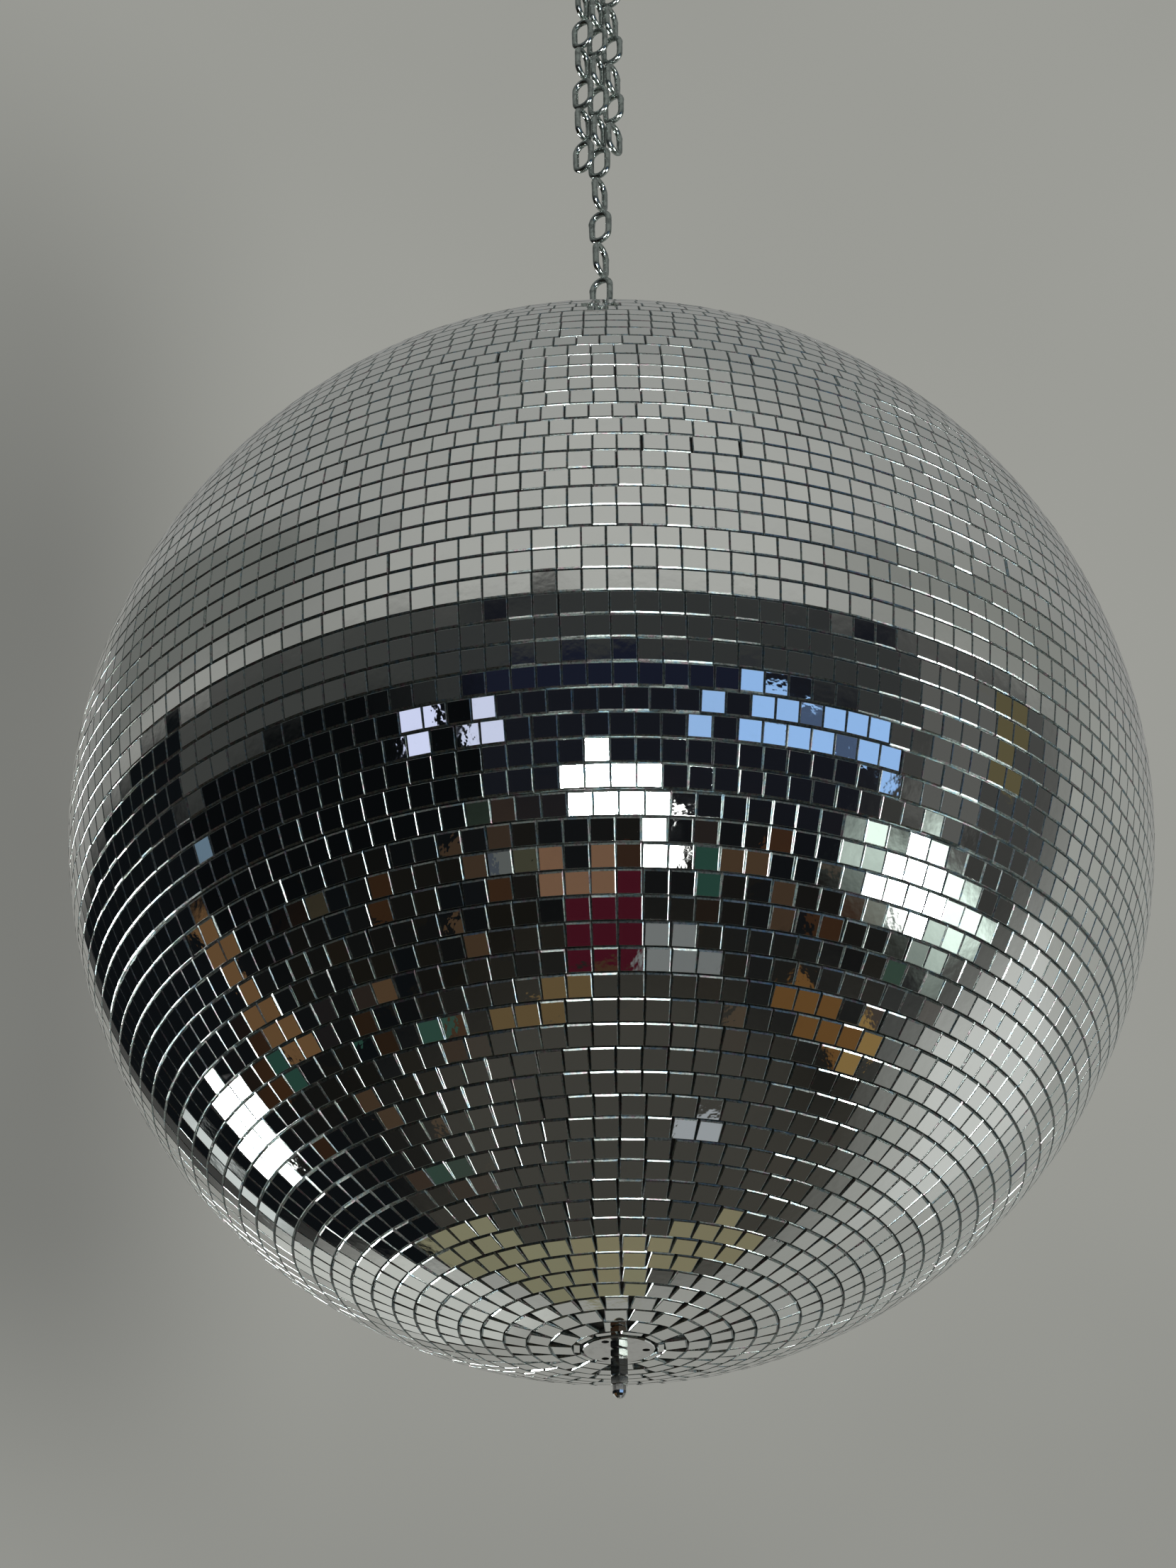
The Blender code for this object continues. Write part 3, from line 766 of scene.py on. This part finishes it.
    def lay(self, name: str, tile: Object, matrices: list[np.ndarray],
            tints: list[float]) -> Object:
        """Copy the tile's mesh to all its places, as one mesh.

        Args:
            name: The piece's name.
            tile: The tile that is copied.
            matrices: Its places.
            tints: Its tints.

        Returns:
            The piece.
        """
        source = tile.data
        count = len(matrices)
        points = np.array([v.co for v in source.vertices])
        normals = np.array([n.vector for n in source.corner_normals])
        corners = np.array([loop.vertex_index for loop in source.loops])
        starts = np.array([face.loop_start for face in source.polygons])
        kinds = np.array([face.material_index for face in source.polygons])
        uv = np.array([c.uv for c in source.uv_layers[0].data])
        stack = np.array(matrices)
        bases = stack[:, :3, :3]
        spots = np.einsum("nij,vj->nvi", bases, points) + stack[:, None, :3, 3]
        turns = bases / np.linalg.norm(bases, axis=1, keepdims=True)
        worn = self.vary_wear(normals, kinds, starts, len(corners), count)
        turned_normals = np.einsum("nij,nvj->nvi", turns, worn)
        step = np.arange(count)[:, None]
        mesh = bpy.data.meshes.new(name)
        mesh.vertices.add(count * len(points))
        mesh.vertices.foreach_set("co", spots.ravel())
        mesh.loops.add(count * len(corners))
        mesh.loops.foreach_set("vertex_index", (corners + step * len(points)).ravel())
        mesh.polygons.add(count * len(starts))
        mesh.polygons.foreach_set("loop_start", (starts + step * len(corners)).ravel())
        mesh.polygons.foreach_set("material_index", np.tile(kinds, count))
        mesh.uv_layers.new(name="face").data.foreach_set("uv", np.tile(uv.ravel(), count))
        tint = mesh.attributes.new("tile_tint", "FLOAT", "POINT")
        tint.data.foreach_set("value", np.repeat(tints, len(points)))
        mesh.update(calc_edges=True)
        mesh.polygons.foreach_set("use_smooth", np.ones(len(mesh.polygons), dtype=bool))
        mesh.normals_split_custom_set(turned_normals.reshape(-1, 3).tolist())
        obj = bpy.data.objects.new(name, mesh)
        bpy.context.scene.collection.objects.link(obj)
        return obj

    def vary_wear(self, normals: np.ndarray, kinds: np.ndarray, starts: np.ndarray,
                  corners: int, count: int) -> np.ndarray:
        """Lean the worn edges of each tile a little more or less, each of its sides by itself.

        Args:
            normals: Normals at the corners of one tile's faces.
            kinds: Material index of each of its faces.
            starts: First corner of each face.
            corners: Number of corners.
            count: Number of tiles.

        Returns:
            Normals by tile and corner.
        """
        sizes = np.diff(np.append(starts, corners))
        level = np.linalg.norm(normals[:, :2], axis=1)
        least_rise = 0.05                 # the sides of a tile rise less than its worn edges
        facet = (np.repeat(kinds, sizes) == CUT) & (normals[:, 2] > least_rise)
        side = (np.abs(normals[:, 1]) > np.abs(normals[:, 0])) * 2 + (
            normals.sum(axis=1) > 2 * normals[:, 2])
        chance = np.random.default_rng(self.seed + count)
        lean = np.radians(chance.normal(0.0, self.facet_spread_deg, (count, 4)))[:, side]
        lean = np.clip(lean, -self.facet_limit, self.facet_limit) * facet
        across = normals[:, :2] / np.maximum(level, MERGE)[:, None]
        angle = np.arctan2(level, normals[:, 2])
        fanned = math.radians(self.facet_lean_deg) + (angle - math.pi / 4) * self.facet_fan
        angle = np.where(facet, fanned, angle) + lean
        flat, upright = np.sin(angle), np.cos(angle)
        return np.concatenate([across[None] * flat[..., None], upright[..., None]], axis=2)

    def build(self) -> None:
        """Lay both halves."""
        tile = self.model_tile()
        for half in Half:
            name = half.name.lower()
            matrices, tints = self.places(half)
            log.info("%s half: %d tiles", name, len(matrices))
            skin = self.lay(f"{name}_tiles", tile, matrices, tints)
            kinds = np.zeros(len(skin.data.polygons), dtype=np.int32)
            skin.data.polygons.foreach_get("material_index", kinds)
            finish_piece(skin, self.materials, Body.BALL, Slot.TILES, f"{name}_mirror_skin")
            skin.data.polygons.foreach_set("material_index", kinds)
        bpy.data.objects.remove(tile, do_unlink=True)


# ---- core
@dataclass
class Core:
    """The two black half shells that the tiles are glued to."""

    finishes: Finishes
    radius: float = 0.2478
    wall: float = 0.0030
    flat: float = 0.0165              # radius of the flat at a pole
    bore: float = 0.0023
    gap: float = 0.00015              # from a shell's rim to the plane of the equator
    segments: int = 128

    def shell(self, name: str, half: Half) -> Object:
        """Model one half shell from a sphere, cut at the equator and flattened at its pole.

        Args:
            name: The piece's name.
            half: Which half.

        Returns:
            The shell.
        """
        clear_selection()
        bpy.ops.mesh.primitive_uv_sphere_add(segments=self.segments, radius=self.radius,
                                             ring_count=self.segments // 2)
        obj = named(name)
        flat = math.sqrt(self.radius ** 2 - self.flat ** 2)
        edit_all(obj)
        cut_level(self.gap, clear_inner=True)
        cut_level(flat, clear_outer=True)
        bpy.ops.mesh.extrude_edges_move(TRANSFORM_OT_translate={"value": (0.0, 0.0, 0.0)})
        shrink = self.bore / self.flat
        bpy.ops.transform.resize(value=(shrink, shrink, 1.0), center_override=(0.0, 0.0, flat))
        bpy.ops.mesh.select_all(action="SELECT")
        bpy.ops.mesh.remove_doubles(threshold=MERGE)
        bpy.ops.mesh.normals_make_consistent(inside=False)
        object_mode()
        apply_modifier(obj, "SOLIDIFY", thickness=self.wall, offset=-1.0)
        smooth_by_angle(obj)
        obj.rotation_euler.x = 0.0 if half is Half.UPPER else math.pi
        obj.location = BALL_CENTRE
        settle(obj)
        return obj

    def build(self) -> None:
        """Make both shells."""
        for half in Half:
            name = half.name.lower()
            shell = self.shell(f"{name}_shell", half)
            finish_piece(shell, self.finishes.core, Body.BALL, Slot.PLASTIC,
                         f"{name}_core_shell")


# ---- chain
@dataclass
class Chain:
    """Welded links, modelled once and copied to the place of each CAD link."""

    finishes: Finishes
    wire: float = 0.0035
    width: float = 0.0145
    length: float = 0.0333            # over the outside
    fattening: float = 1.035          # makes up for what smoothing takes from the wire
    bead: float = 1.10                # swelling of the weld in the middle of one leg
    bead_reach: float = 0.0020
    cuts: tuple[float, ...] = (-2.2, -1.0, -0.25, 0.25, 1.0, 2.2)  # of the legs, in reaches
    crown_steps: int = 28
    wire_steps: int = 14

    def model_link(self) -> Object:
        """Model a link about its own centre, along Z and flat in Y, from a stretched torus.

        Returns:
            The link.
        """
        clear_selection()
        crown = (self.width - self.wire) / 2
        stretch = self.length / 2 - self.wire / 2 - crown
        bpy.ops.mesh.primitive_torus_add(
            major_segments=self.crown_steps, minor_segments=self.wire_steps, major_radius=crown,
            minor_radius=self.wire / 2 * self.fattening, rotation=(math.pi / 2, 0.0, 0.0))
        link = named("link")
        settle(link)
        edit_all(link)
        cut_level(0.0)
        object_mode()
        for sign in (1, -1):
            for vertex in link.data.vertices:
                vertex.select = vertex.co.z * sign > 10 * MERGE
            bpy.ops.object.mode_set(mode="EDIT")
            bpy.ops.mesh.select_mode(type="VERT")
            bpy.ops.transform.translate(value=(0.0, 0.0, stretch * sign))
            object_mode()
        edit_all(link)
        for cut in self.cuts:
            cut_level(cut * self.bead_reach)
        bpy.ops.mesh.select_all(action="DESELECT")
        object_mode()
        for vertex in link.data.vertices:
            vertex.select = vertex.co.x > 0.0 and abs(vertex.co.z) < self.bead_reach / 2
        bpy.ops.object.mode_set(mode="EDIT")
        bpy.ops.transform.resize(value=(self.bead, self.bead, 1.0),
                                 center_override=(crown, 0.0, 0.0))
        object_mode()
        apply_modifier(link, "SUBSURF", levels=1, render_levels=1)
        activate(link)
        bpy.ops.object.shade_smooth()
        return link

    @staticmethod
    def place_of(node: Object) -> Matrix:
        """Place of a CAD link, from the spread of its corners.

        Args:
            node: The CAD link.

        Returns:
            The matrix that takes a link about its own centre to that place.
        """
        points = np.array([node.matrix_world @ v.co for v in node.data.vertices])
        points = np.unique(points.round(6), axis=0)
        centre = (points.max(axis=0) + points.min(axis=0)) / 2
        _, vectors = np.linalg.eigh(np.cov((points - centre).T))
        wide, long = (Vector(vectors[:, i]) for i in (1, 2))
        if long.z < 0.0:
            long.negate()
        flat = long.cross(wide)
        turn = Matrix((wide, flat, long)).transposed().to_4x4()
        spread = (points - centre) @ np.array(turn.to_3x3())
        shift = (spread.max(axis=0) + spread.min(axis=0)) / 2
        return Matrix.Translation(Vector(centre)) @ turn @ Matrix.Translation(Vector(shift))

    def build(self) -> None:
        """Copy the link to every CAD link."""
        link = self.model_link()
        bodies = {node: Body(body)
                  for body, nodes in frame["record"]["behaviour"]["bodies"].items()
                  for node in nodes if "_link_" in node}
        for node, body in bodies.items():
            copy = bpy.data.objects.new("steel_" + node, link.data.copy())
            bpy.context.scene.collection.objects.link(copy)
            copy.data.transform(self.place_of(frame["nodes"][node]))
            finish_piece(copy, self.finishes.chain, body, Slot.ZINC, node)
        bpy.data.objects.remove(link, do_unlink=True)


# ---- fittings
@dataclass
class CadDress:
    """Materials of the CAD nodes that stay."""

    finishes: Finishes
    plan: dict[str, str] = field(default_factory=lambda: {
        "zinc": "screw_link screw_link_sleeve swivel_eye centre_rod top_inner_washer "
                "top_inner_nut bottom_inner_washer bottom_inner_nut",
        "polished": "swivel_housing swivel_cap top_nut top_plate bottom_plate bottom_nut "
                    "bottom_long_nut bottom_cap_nut",
        "bronze": "swivel_washer", "core": "equator_band"})

    def build(self) -> None:
        """Dress each node that still shows."""
        for finish, names in self.plan.items():
            for node in (frame["nodes"][name] for name in names.split()):
                if node.hide_render:
                    continue
                if not node.material_slots:
                    node.data.materials.append(None)
                for slot in node.material_slots:
                    slot.material = getattr(self.finishes, finish)


# ---- room
@dataclass(frozen=True)
class Patch:
    """A flat, far thing in the room, such as a window, as the tiles see it from the ball."""

    name: str                         # what it stands for
    azimuth_deg: float                # 0 faces the room in front, 90 is to the right
    elevation_deg: float
    width_deg: float
    height_deg: float
    colour: Colour
    strength: float = 1.0
    roll_deg: float = 0.0
    soft: float = 0.02

    def turn(self) -> tuple[float, float, float]:
        """Euler angles that bring the middle of the patch to the Z axis and its across to X.

        Returns:
            The angles in radians.
        """
        azimuth = math.radians(self.azimuth_deg)
        elevation = math.radians(self.elevation_deg)
        facing = Vector((math.sin(azimuth) * math.cos(elevation),
                         -math.cos(azimuth) * math.cos(elevation), math.sin(elevation)))
        across = Vector((math.cos(azimuth), math.sin(azimuth), 0.0))
        across = Matrix.Rotation(math.radians(self.roll_deg), 3, facing) @ across
        return tuple(Matrix((across, facing.cross(across), facing)).to_euler())

    def stretch(self) -> tuple[float, float, float]:
        """Scale that makes the patch's edges lie at 1 from its middle.

        Returns:
            The scale along its width, its height and its axis.
        """
        return (1 / math.sin(math.radians(self.width_deg / 2)),
                1 / math.sin(math.radians(self.height_deg / 2)), 1.0)


class Outlook(Sheet):
    """Sheet on the world's nodes, with the direction that is looked in."""

    def __init__(self, tree: Tree) -> None:
        """Start on the world's tree.

        Args:
            tree: The tree to add nodes to.
        """
        super().__init__(tree)
        self.direction = self.add("TexCoord").outputs["Generated"]
        self.east, _, self.height = self.add("SeparateXYZ", {0: self.direction}).outputs
        self.level = self.math("MULTIPLY_ADD", self.height, 0.5, 0.5)


@dataclass
class Room:
    """Camera, backdrop, floor and the surroundings that the mirrors show."""

    focal_px: float = 3427.4
    frame_px: tuple[int, int] = (1659, 2212)
    camera_from_ball: tuple[float, float, float] = (-0.0103, -0.9698, -0.6077)
    pitch_deg: float = 33.39
    roll_deg: float = -0.62
    sensor: float = 36.0              # width in millimetres
    sight: float = 200.0              # how far the camera sees
    light_map_px: int = 512
    floor_height: float = -3.3
    floor_radius: float = 60.0
    floor_sides: int = 96
    floor_roughness: float = 0.8
    floor_colour: Colour = (0.80, 0.80, 0.76)
    floor_dust: Colour = (0.78, 0.78, 0.75)
    # the bare room by height, from straight down at 0 to straight up at 1
    levels: Stops = (
        (0.00, (0.050, 0.048, 0.042)), (0.10, (0.046, 0.043, 0.036)),
        (0.30, (0.030, 0.030, 0.028)), (0.62, (0.060, 0.060, 0.058)),
        (0.665, (0.075, 0.075, 0.072)), (0.685, (0.30, 0.30, 0.285)),
        (0.78, (0.29, 0.29, 0.28)), (1.00, (0.27, 0.275, 0.265)))
    ceiling: Colour = (0.42, 0.42, 0.40)
    ceiling_facing: tuple[float, float, float] = (0.17, -0.86, 0.48)
    ceiling_reach: Limits = (0.45, 1.0)
    ceiling_foot: Limits = (0.30, 0.36)
    # small things low in the room
    clutter: Stops = (
        (0.0, (0.004, 0.005, 0.006)), (0.70, (0.009, 0.008, 0.006)),
        (0.80, (0.050, 0.022, 0.009)), (0.86, (0.010, 0.010, 0.011)),
        (0.94, (0.085, 0.050, 0.026)), (0.985, (0.02, 0.06, 0.045)))
    clutter_scale: float = 9.0
    clutter_share: float = 0.85
    clutter_facing: tuple[float, float, float] = (-0.25, -1.0, 0.0)
    clutter_reach: Limits = (-0.45, -0.15)
    clutter_top: Limits = (-0.50, -0.30)
    clutter_foot: Limits = (-0.93, -0.80)
    # the backdrop by height, darker towards the bottom, and painted shade at its left
    plaster: Stops = (
        (0.50, (0.24, 0.242, 0.224)), (0.65, (0.300, 0.303, 0.280)),
        (0.72, (0.335, 0.338, 0.312)), (1.00, (0.335, 0.338, 0.312)))
    shade: Colour = (0.180, 0.183, 0.170)
    shade_side: Limits = (-0.10, -0.22)
    shade_top: Limits = (0.90, 0.80)
    shade_foot: Limits = (0.62, 0.70)
    cloud_share: float = 0.12
    cloud_grain: Grain = (3.0, 3.0, 0.5)
    clouds: Stops = ((0.3, (0.15, 0.15, 0.14)), (0.7, (0.40, 0.40, 0.37)))
    shell: tuple[Patch, ...] = (
        # pale walls at the sides and behind
        Patch("right_wall", 143, -8, 86, 74, (0.33, 0.335, 0.315), soft=0.14),
        Patch("right_wall_glow", 119, -21, 34, 28, (0.56, 0.57, 0.55), soft=0.35),
        Patch("left_wall", -172, -2, 44, 84, (0.30, 0.30, 0.28), soft=0.10),
        Patch("left_wall_glow", -160, -20, 18, 34, (0.50, 0.51, 0.48), soft=0.12),
        # the dark side of the room
        Patch("dark_side", -65, -20, 100, 62, (0.0025, 0.003, 0.0035), soft=0.05),
        Patch("left_upper_wall", -64, 13, 84, 11, (0.046, 0.048, 0.046), soft=0.35),
        Patch("left_ceiling", -96, 37, 62, 20, (0.145, 0.150, 0.141), soft=0.4),
        Patch("right_ceiling", 78, 30, 54, 16, (0.215, 0.220, 0.205), soft=0.5),
        Patch("dark_corner", -119, -14, 50, 70, (0.004, 0.005, 0.006), soft=0.05),
        Patch("dark_front", 15, -15, 78, 60, (0.008, 0.009, 0.013), soft=0.06),
        Patch("front_wall", 12, 11, 96, 12, (0.032, 0.034, 0.034), soft=0.15),
        Patch("navy_wall", 0, 2, 50, 9, (0.009, 0.011, 0.022), soft=0.1),
        Patch("brown_door", 79, 10, 14, 16, (0.10, 0.085, 0.045)),
        Patch("grey_door", 70, 2, 16, 30, (0.10, 0.10, 0.095), soft=0.06),
        # windows and lamps
        Patch("blue_window", 41, -4, 32, 13, (0.30, 0.50, 0.86), soft=0.008),
        Patch("blue_window_bar", 42, -4, 9, 4, (0.06, 0.09, 0.16), soft=0.006),
        Patch("blue_window_left", 18, -6, 6, 9, (0.30, 0.48, 0.80), roll_deg=-20, soft=0.006),
        Patch("small_window_left", -38, -5, 8, 7, (0.66, 0.70, 0.95), soft=0.006),
        Patch("small_window_right", -24, -6, 7, 7, (0.62, 0.66, 0.86), soft=0.006),
        Patch("blue_spot", -89, 0, 4, 5, (0.12, 0.18, 0.24), soft=0.006),
        Patch("pale_spot", -28, -34, 6, 5, (0.30, 0.36, 0.46), soft=0.01),
        Patch("skylight", 2, -23, 20, 11, (1.0, 1.0, 0.98), 300.0, -20, 0.08),
        Patch("skylight_foot", 10, -31, 8, 12, (1.0, 1.0, 0.98), 140.0, soft=0.08),
        Patch("right_window", 78, -22, 22, 16, (0.84, 1.0, 0.90), 1.5, -14, 0.15),
        Patch("right_window_low", 64, -24, 22, 12, (0.84, 1.0, 0.90), 1.1, -6, 0.3),
        Patch("left_window", -127, -20, 14, 12, (1.0, 1.0, 0.97), 220.0, 20, 0.1),
        Patch("left_window_sill", -142, -8, 14, 6, (0.75, 0.80, 0.78), 0.8, 24, 0.2),
        Patch("right_window_core", 71, -22, 12, 12, (1.0, 1.0, 0.98), 240.0, -14, 0.2),
    )
    furniture: tuple[Patch, ...] = (
        Patch("red_cloth", -5, -47, 16, 16, (0.05, 0.006, 0.012)),
        Patch("brown_cloth", -10, -38, 14, 6, (0.16, 0.09, 0.055)),
        Patch("grey_cloth", 20, -52, 16, 8, (0.16, 0.17, 0.17)),
        Patch("tan_crates", -98, -22, 8, 32, (0.12, 0.066, 0.030)),
        Patch("tan_box", -34, -62, 24, 6, (0.11, 0.075, 0.035), soft=0.03),
        Patch("tan_shelf", 87, -46, 10, 8, (0.22, 0.14, 0.05)),
        Patch("tan_shelf_right", 70, -50, 22, 7, (0.12, 0.06, 0.02)),
        Patch("pale_sheet", 98, -75, 9, 6, (0.32, 0.34, 0.36)),
        Patch("beige_floor_left", -165, -50, 28, 16, (0.20, 0.19, 0.12), soft=0.03),
        Patch("beige_floor_right", 168, -56, 24, 12, (0.20, 0.18, 0.11), soft=0.03),
    )

    def set_camera(self) -> None:
        """Put the camera where the photograph was taken from."""
        pitch, roll = math.radians(self.pitch_deg), math.radians(self.roll_deg)
        right = Vector((1.0, 0.0, 0.0))
        up = Vector((0.0, -math.sin(pitch), math.cos(pitch)))
        back = Vector((0.0, -math.cos(pitch), -math.sin(pitch)))
        turned_right = right * math.cos(roll) + up * math.sin(roll)
        turned_up = up * math.cos(roll) - right * math.sin(roll)
        lens = bpy.data.cameras.new("camera")
        lens.sensor_width = self.sensor
        lens.lens = self.focal_px / self.frame_px[1] * lens.sensor_width
        lens.clip_end = self.sight
        camera = bpy.data.objects.new("camera", lens)
        bpy.context.scene.collection.objects.link(camera)
        rotation = Matrix((turned_right, turned_up, back)).transposed().to_4x4()
        camera.matrix_world = Matrix.Translation(
            BALL_CENTRE + Vector(self.camera_from_ball)) @ rotation
        bpy.context.scene.camera = camera

    @staticmethod
    def patch_group() -> Tree:
        """Group that tells how much of a patch lies in a direction.

        Returns:
            The group, with the output Mask.
        """
        tree, sheet, given, wanted = shader_group(
            "room_patch",
            {"Place": ("NodeSocketVector", (0, 0, 0)), "Soft": ("NodeSocketFloat", 0.02)},
            {"Mask": "NodeSocketFloat"})
        place = sheet.add("SeparateXYZ", {0: given["Place"]})
        reach = sheet.math("MAXIMUM", *(sheet.math("ABSOLUTE", place.outputs[i]) for i in (0, 1)))
        inside = sheet.smooth(reach, sheet.math("ADD", 1.0, given["Soft"]),
                              sheet.math("SUBTRACT", 1.0, given["Soft"]))
        ahead = sheet.math("GREATER_THAN", place.outputs[2], 0.0)
        sheet.tree.links.new(sheet.math("MULTIPLY", inside, ahead), wanted["Mask"])
        return tree

    def _bare(self, look: Outlook) -> Socket:
        """Colour floor, walls and ceiling by height, with a paler ceiling in front.

        Args:
            look: The sheet on the world's nodes.

        Returns:
            The colour's socket.
        """
        front = look.smooth(look.dot(look.direction, self.ceiling_facing), *self.ceiling_reach)
        above = look.smooth(look.height, *self.ceiling_foot)
        return look.mix(look.math("MULTIPLY", front, above), look.ramp(look.level, self.levels),
                        self.ceiling)

    def _cluttered(self, look: Outlook, colour: Socket) -> Socket:
        """Scatter small things over the low part of the room in front.

        Args:
            look: The sheet on the world's nodes.
            colour: The colour so far.

        Returns:
            The new colour's socket.
        """
        cells = look.add("TexVoronoi", {"Vector": look.direction, "Scale": self.clutter_scale},
                         feature="F1")
        pick = look.add("SeparateColor", {0: cells.outputs["Color"]}).outputs[0]
        low = look.math("SUBTRACT", 1.0, look.smooth(look.height, *self.clutter_top))
        deep = look.smooth(look.height, *self.clutter_foot)
        seen = look.math("MULTIPLY", look.math("MULTIPLY", low, deep), self.clutter_share)
        side = look.smooth(look.dot(look.direction, self.clutter_facing), *self.clutter_reach)
        return look.mix(look.math("MULTIPLY", seen, side), colour, look.ramp(pick, self.clutter))

    @staticmethod
    def _patched(look: Outlook, colour: Socket, group: Tree,
                 patches: tuple[Patch, ...]) -> Socket:
        """Lay patches over a colour, one after the other.

        Args:
            look: The sheet on the world's nodes.
            colour: The colour so far.
            group: The patch group.
            patches: The patches, from the first to the uppermost.

        Returns:
            The new colour's socket.
        """
        for patch in patches:
            turned = look.add("Mapping", {"Vector": look.direction, "Rotation": patch.turn()})
            place = look.add("Mapping", {"Vector": turned.outputs[0], "Scale": patch.stretch()})
            mask = look.add("Group", {"Soft": patch.soft, "Place": place.outputs[0]},
                            node_tree=group).outputs["Mask"]
            lit = tuple(c * patch.strength for c in patch.colour)
            colour = look.mix(mask, colour, lit)
        return colour

    def _plastered(self, look: Outlook) -> Socket:
        """Colour the plaster backdrop, with faint clouds and painted shade that darkens its left
        side.

        Args:
            look: The sheet on the world's nodes.

        Returns:
            The colour's socket.
        """
        # painted shade: the left of the backdrop is darkened between two heights
        band = look.math("MULTIPLY", look.smooth(look.level, *self.shade_top),
                         look.smooth(look.level, *self.shade_foot))
        shaded = look.math("MULTIPLY", look.smooth(look.east, *self.shade_side), band)
        plaster = look.mix(shaded, look.ramp(look.level, self.plaster), self.shade)
        clouds = look.ramp(look.noise(look.direction, *self.cloud_grain), self.clouds)
        return look.mix(self.cloud_share, plaster, clouds)

    def set_surroundings(self) -> None:
        """Light the object with the room, and show the camera a plain plaster backdrop."""
        world = bpy.data.worlds.new("room")
        world.use_nodes = True
        bpy.context.scene.world = world
        world.cycles.sampling_method = "MANUAL"
        world.cycles.sample_map_resolution = self.light_map_px
        world.node_tree.nodes.clear()
        look = Outlook(world.node_tree)
        group = self.patch_group()
        colour = self._patched(look, self._bare(look), group, self.shell)
        colour = self._patched(look, self._cluttered(look, colour), group, self.furniture)
        room, backdrop = (look.add("Background", {"Color": each, "Strength": 1.0}).outputs[0]
                          for each in (colour, self._plastered(look)))
        seen = look.add("LightPath").outputs["Is Camera Ray"]
        blend = look.add("MixShader", {0: seen, 1: room, 2: backdrop})
        look.add("OutputWorld", {0: blend.outputs[0]})

    def lay_floor(self) -> None:
        """Lay a plain pale floor far below the ball, which the mirrors don't show."""
        clear_selection()
        bpy.ops.mesh.primitive_circle_add(vertices=self.floor_sides, radius=self.floor_radius,
                                          fill_type="NGON", location=(0, 0, self.floor_height))
        floor = named("floor")
        paint = Moulded("floor_paint", self.floor_colour, self.floor_roughness,
                        dust=self.floor_dust)
        floor.data.materials.append(paint.material())
        floor.visible_glossy = False

    def build(self) -> None:
        """Set camera, surroundings and floor."""
        self.set_camera()
        self.set_surroundings()
        self.lay_floor()
        bpy.context.scene.view_settings.view_transform = "Standard"


def main() -> None:
    """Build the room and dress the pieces."""
    logging.basicConfig(level=logging.INFO, format="%(message)s")
    Room().build()
    finishes = Finishes()
    MirrorTiles(finishes).build()
    Core(finishes).build()
    Chain(finishes).build()
    CadDress(finishes).build()


if __name__ == "__main__":
    main()
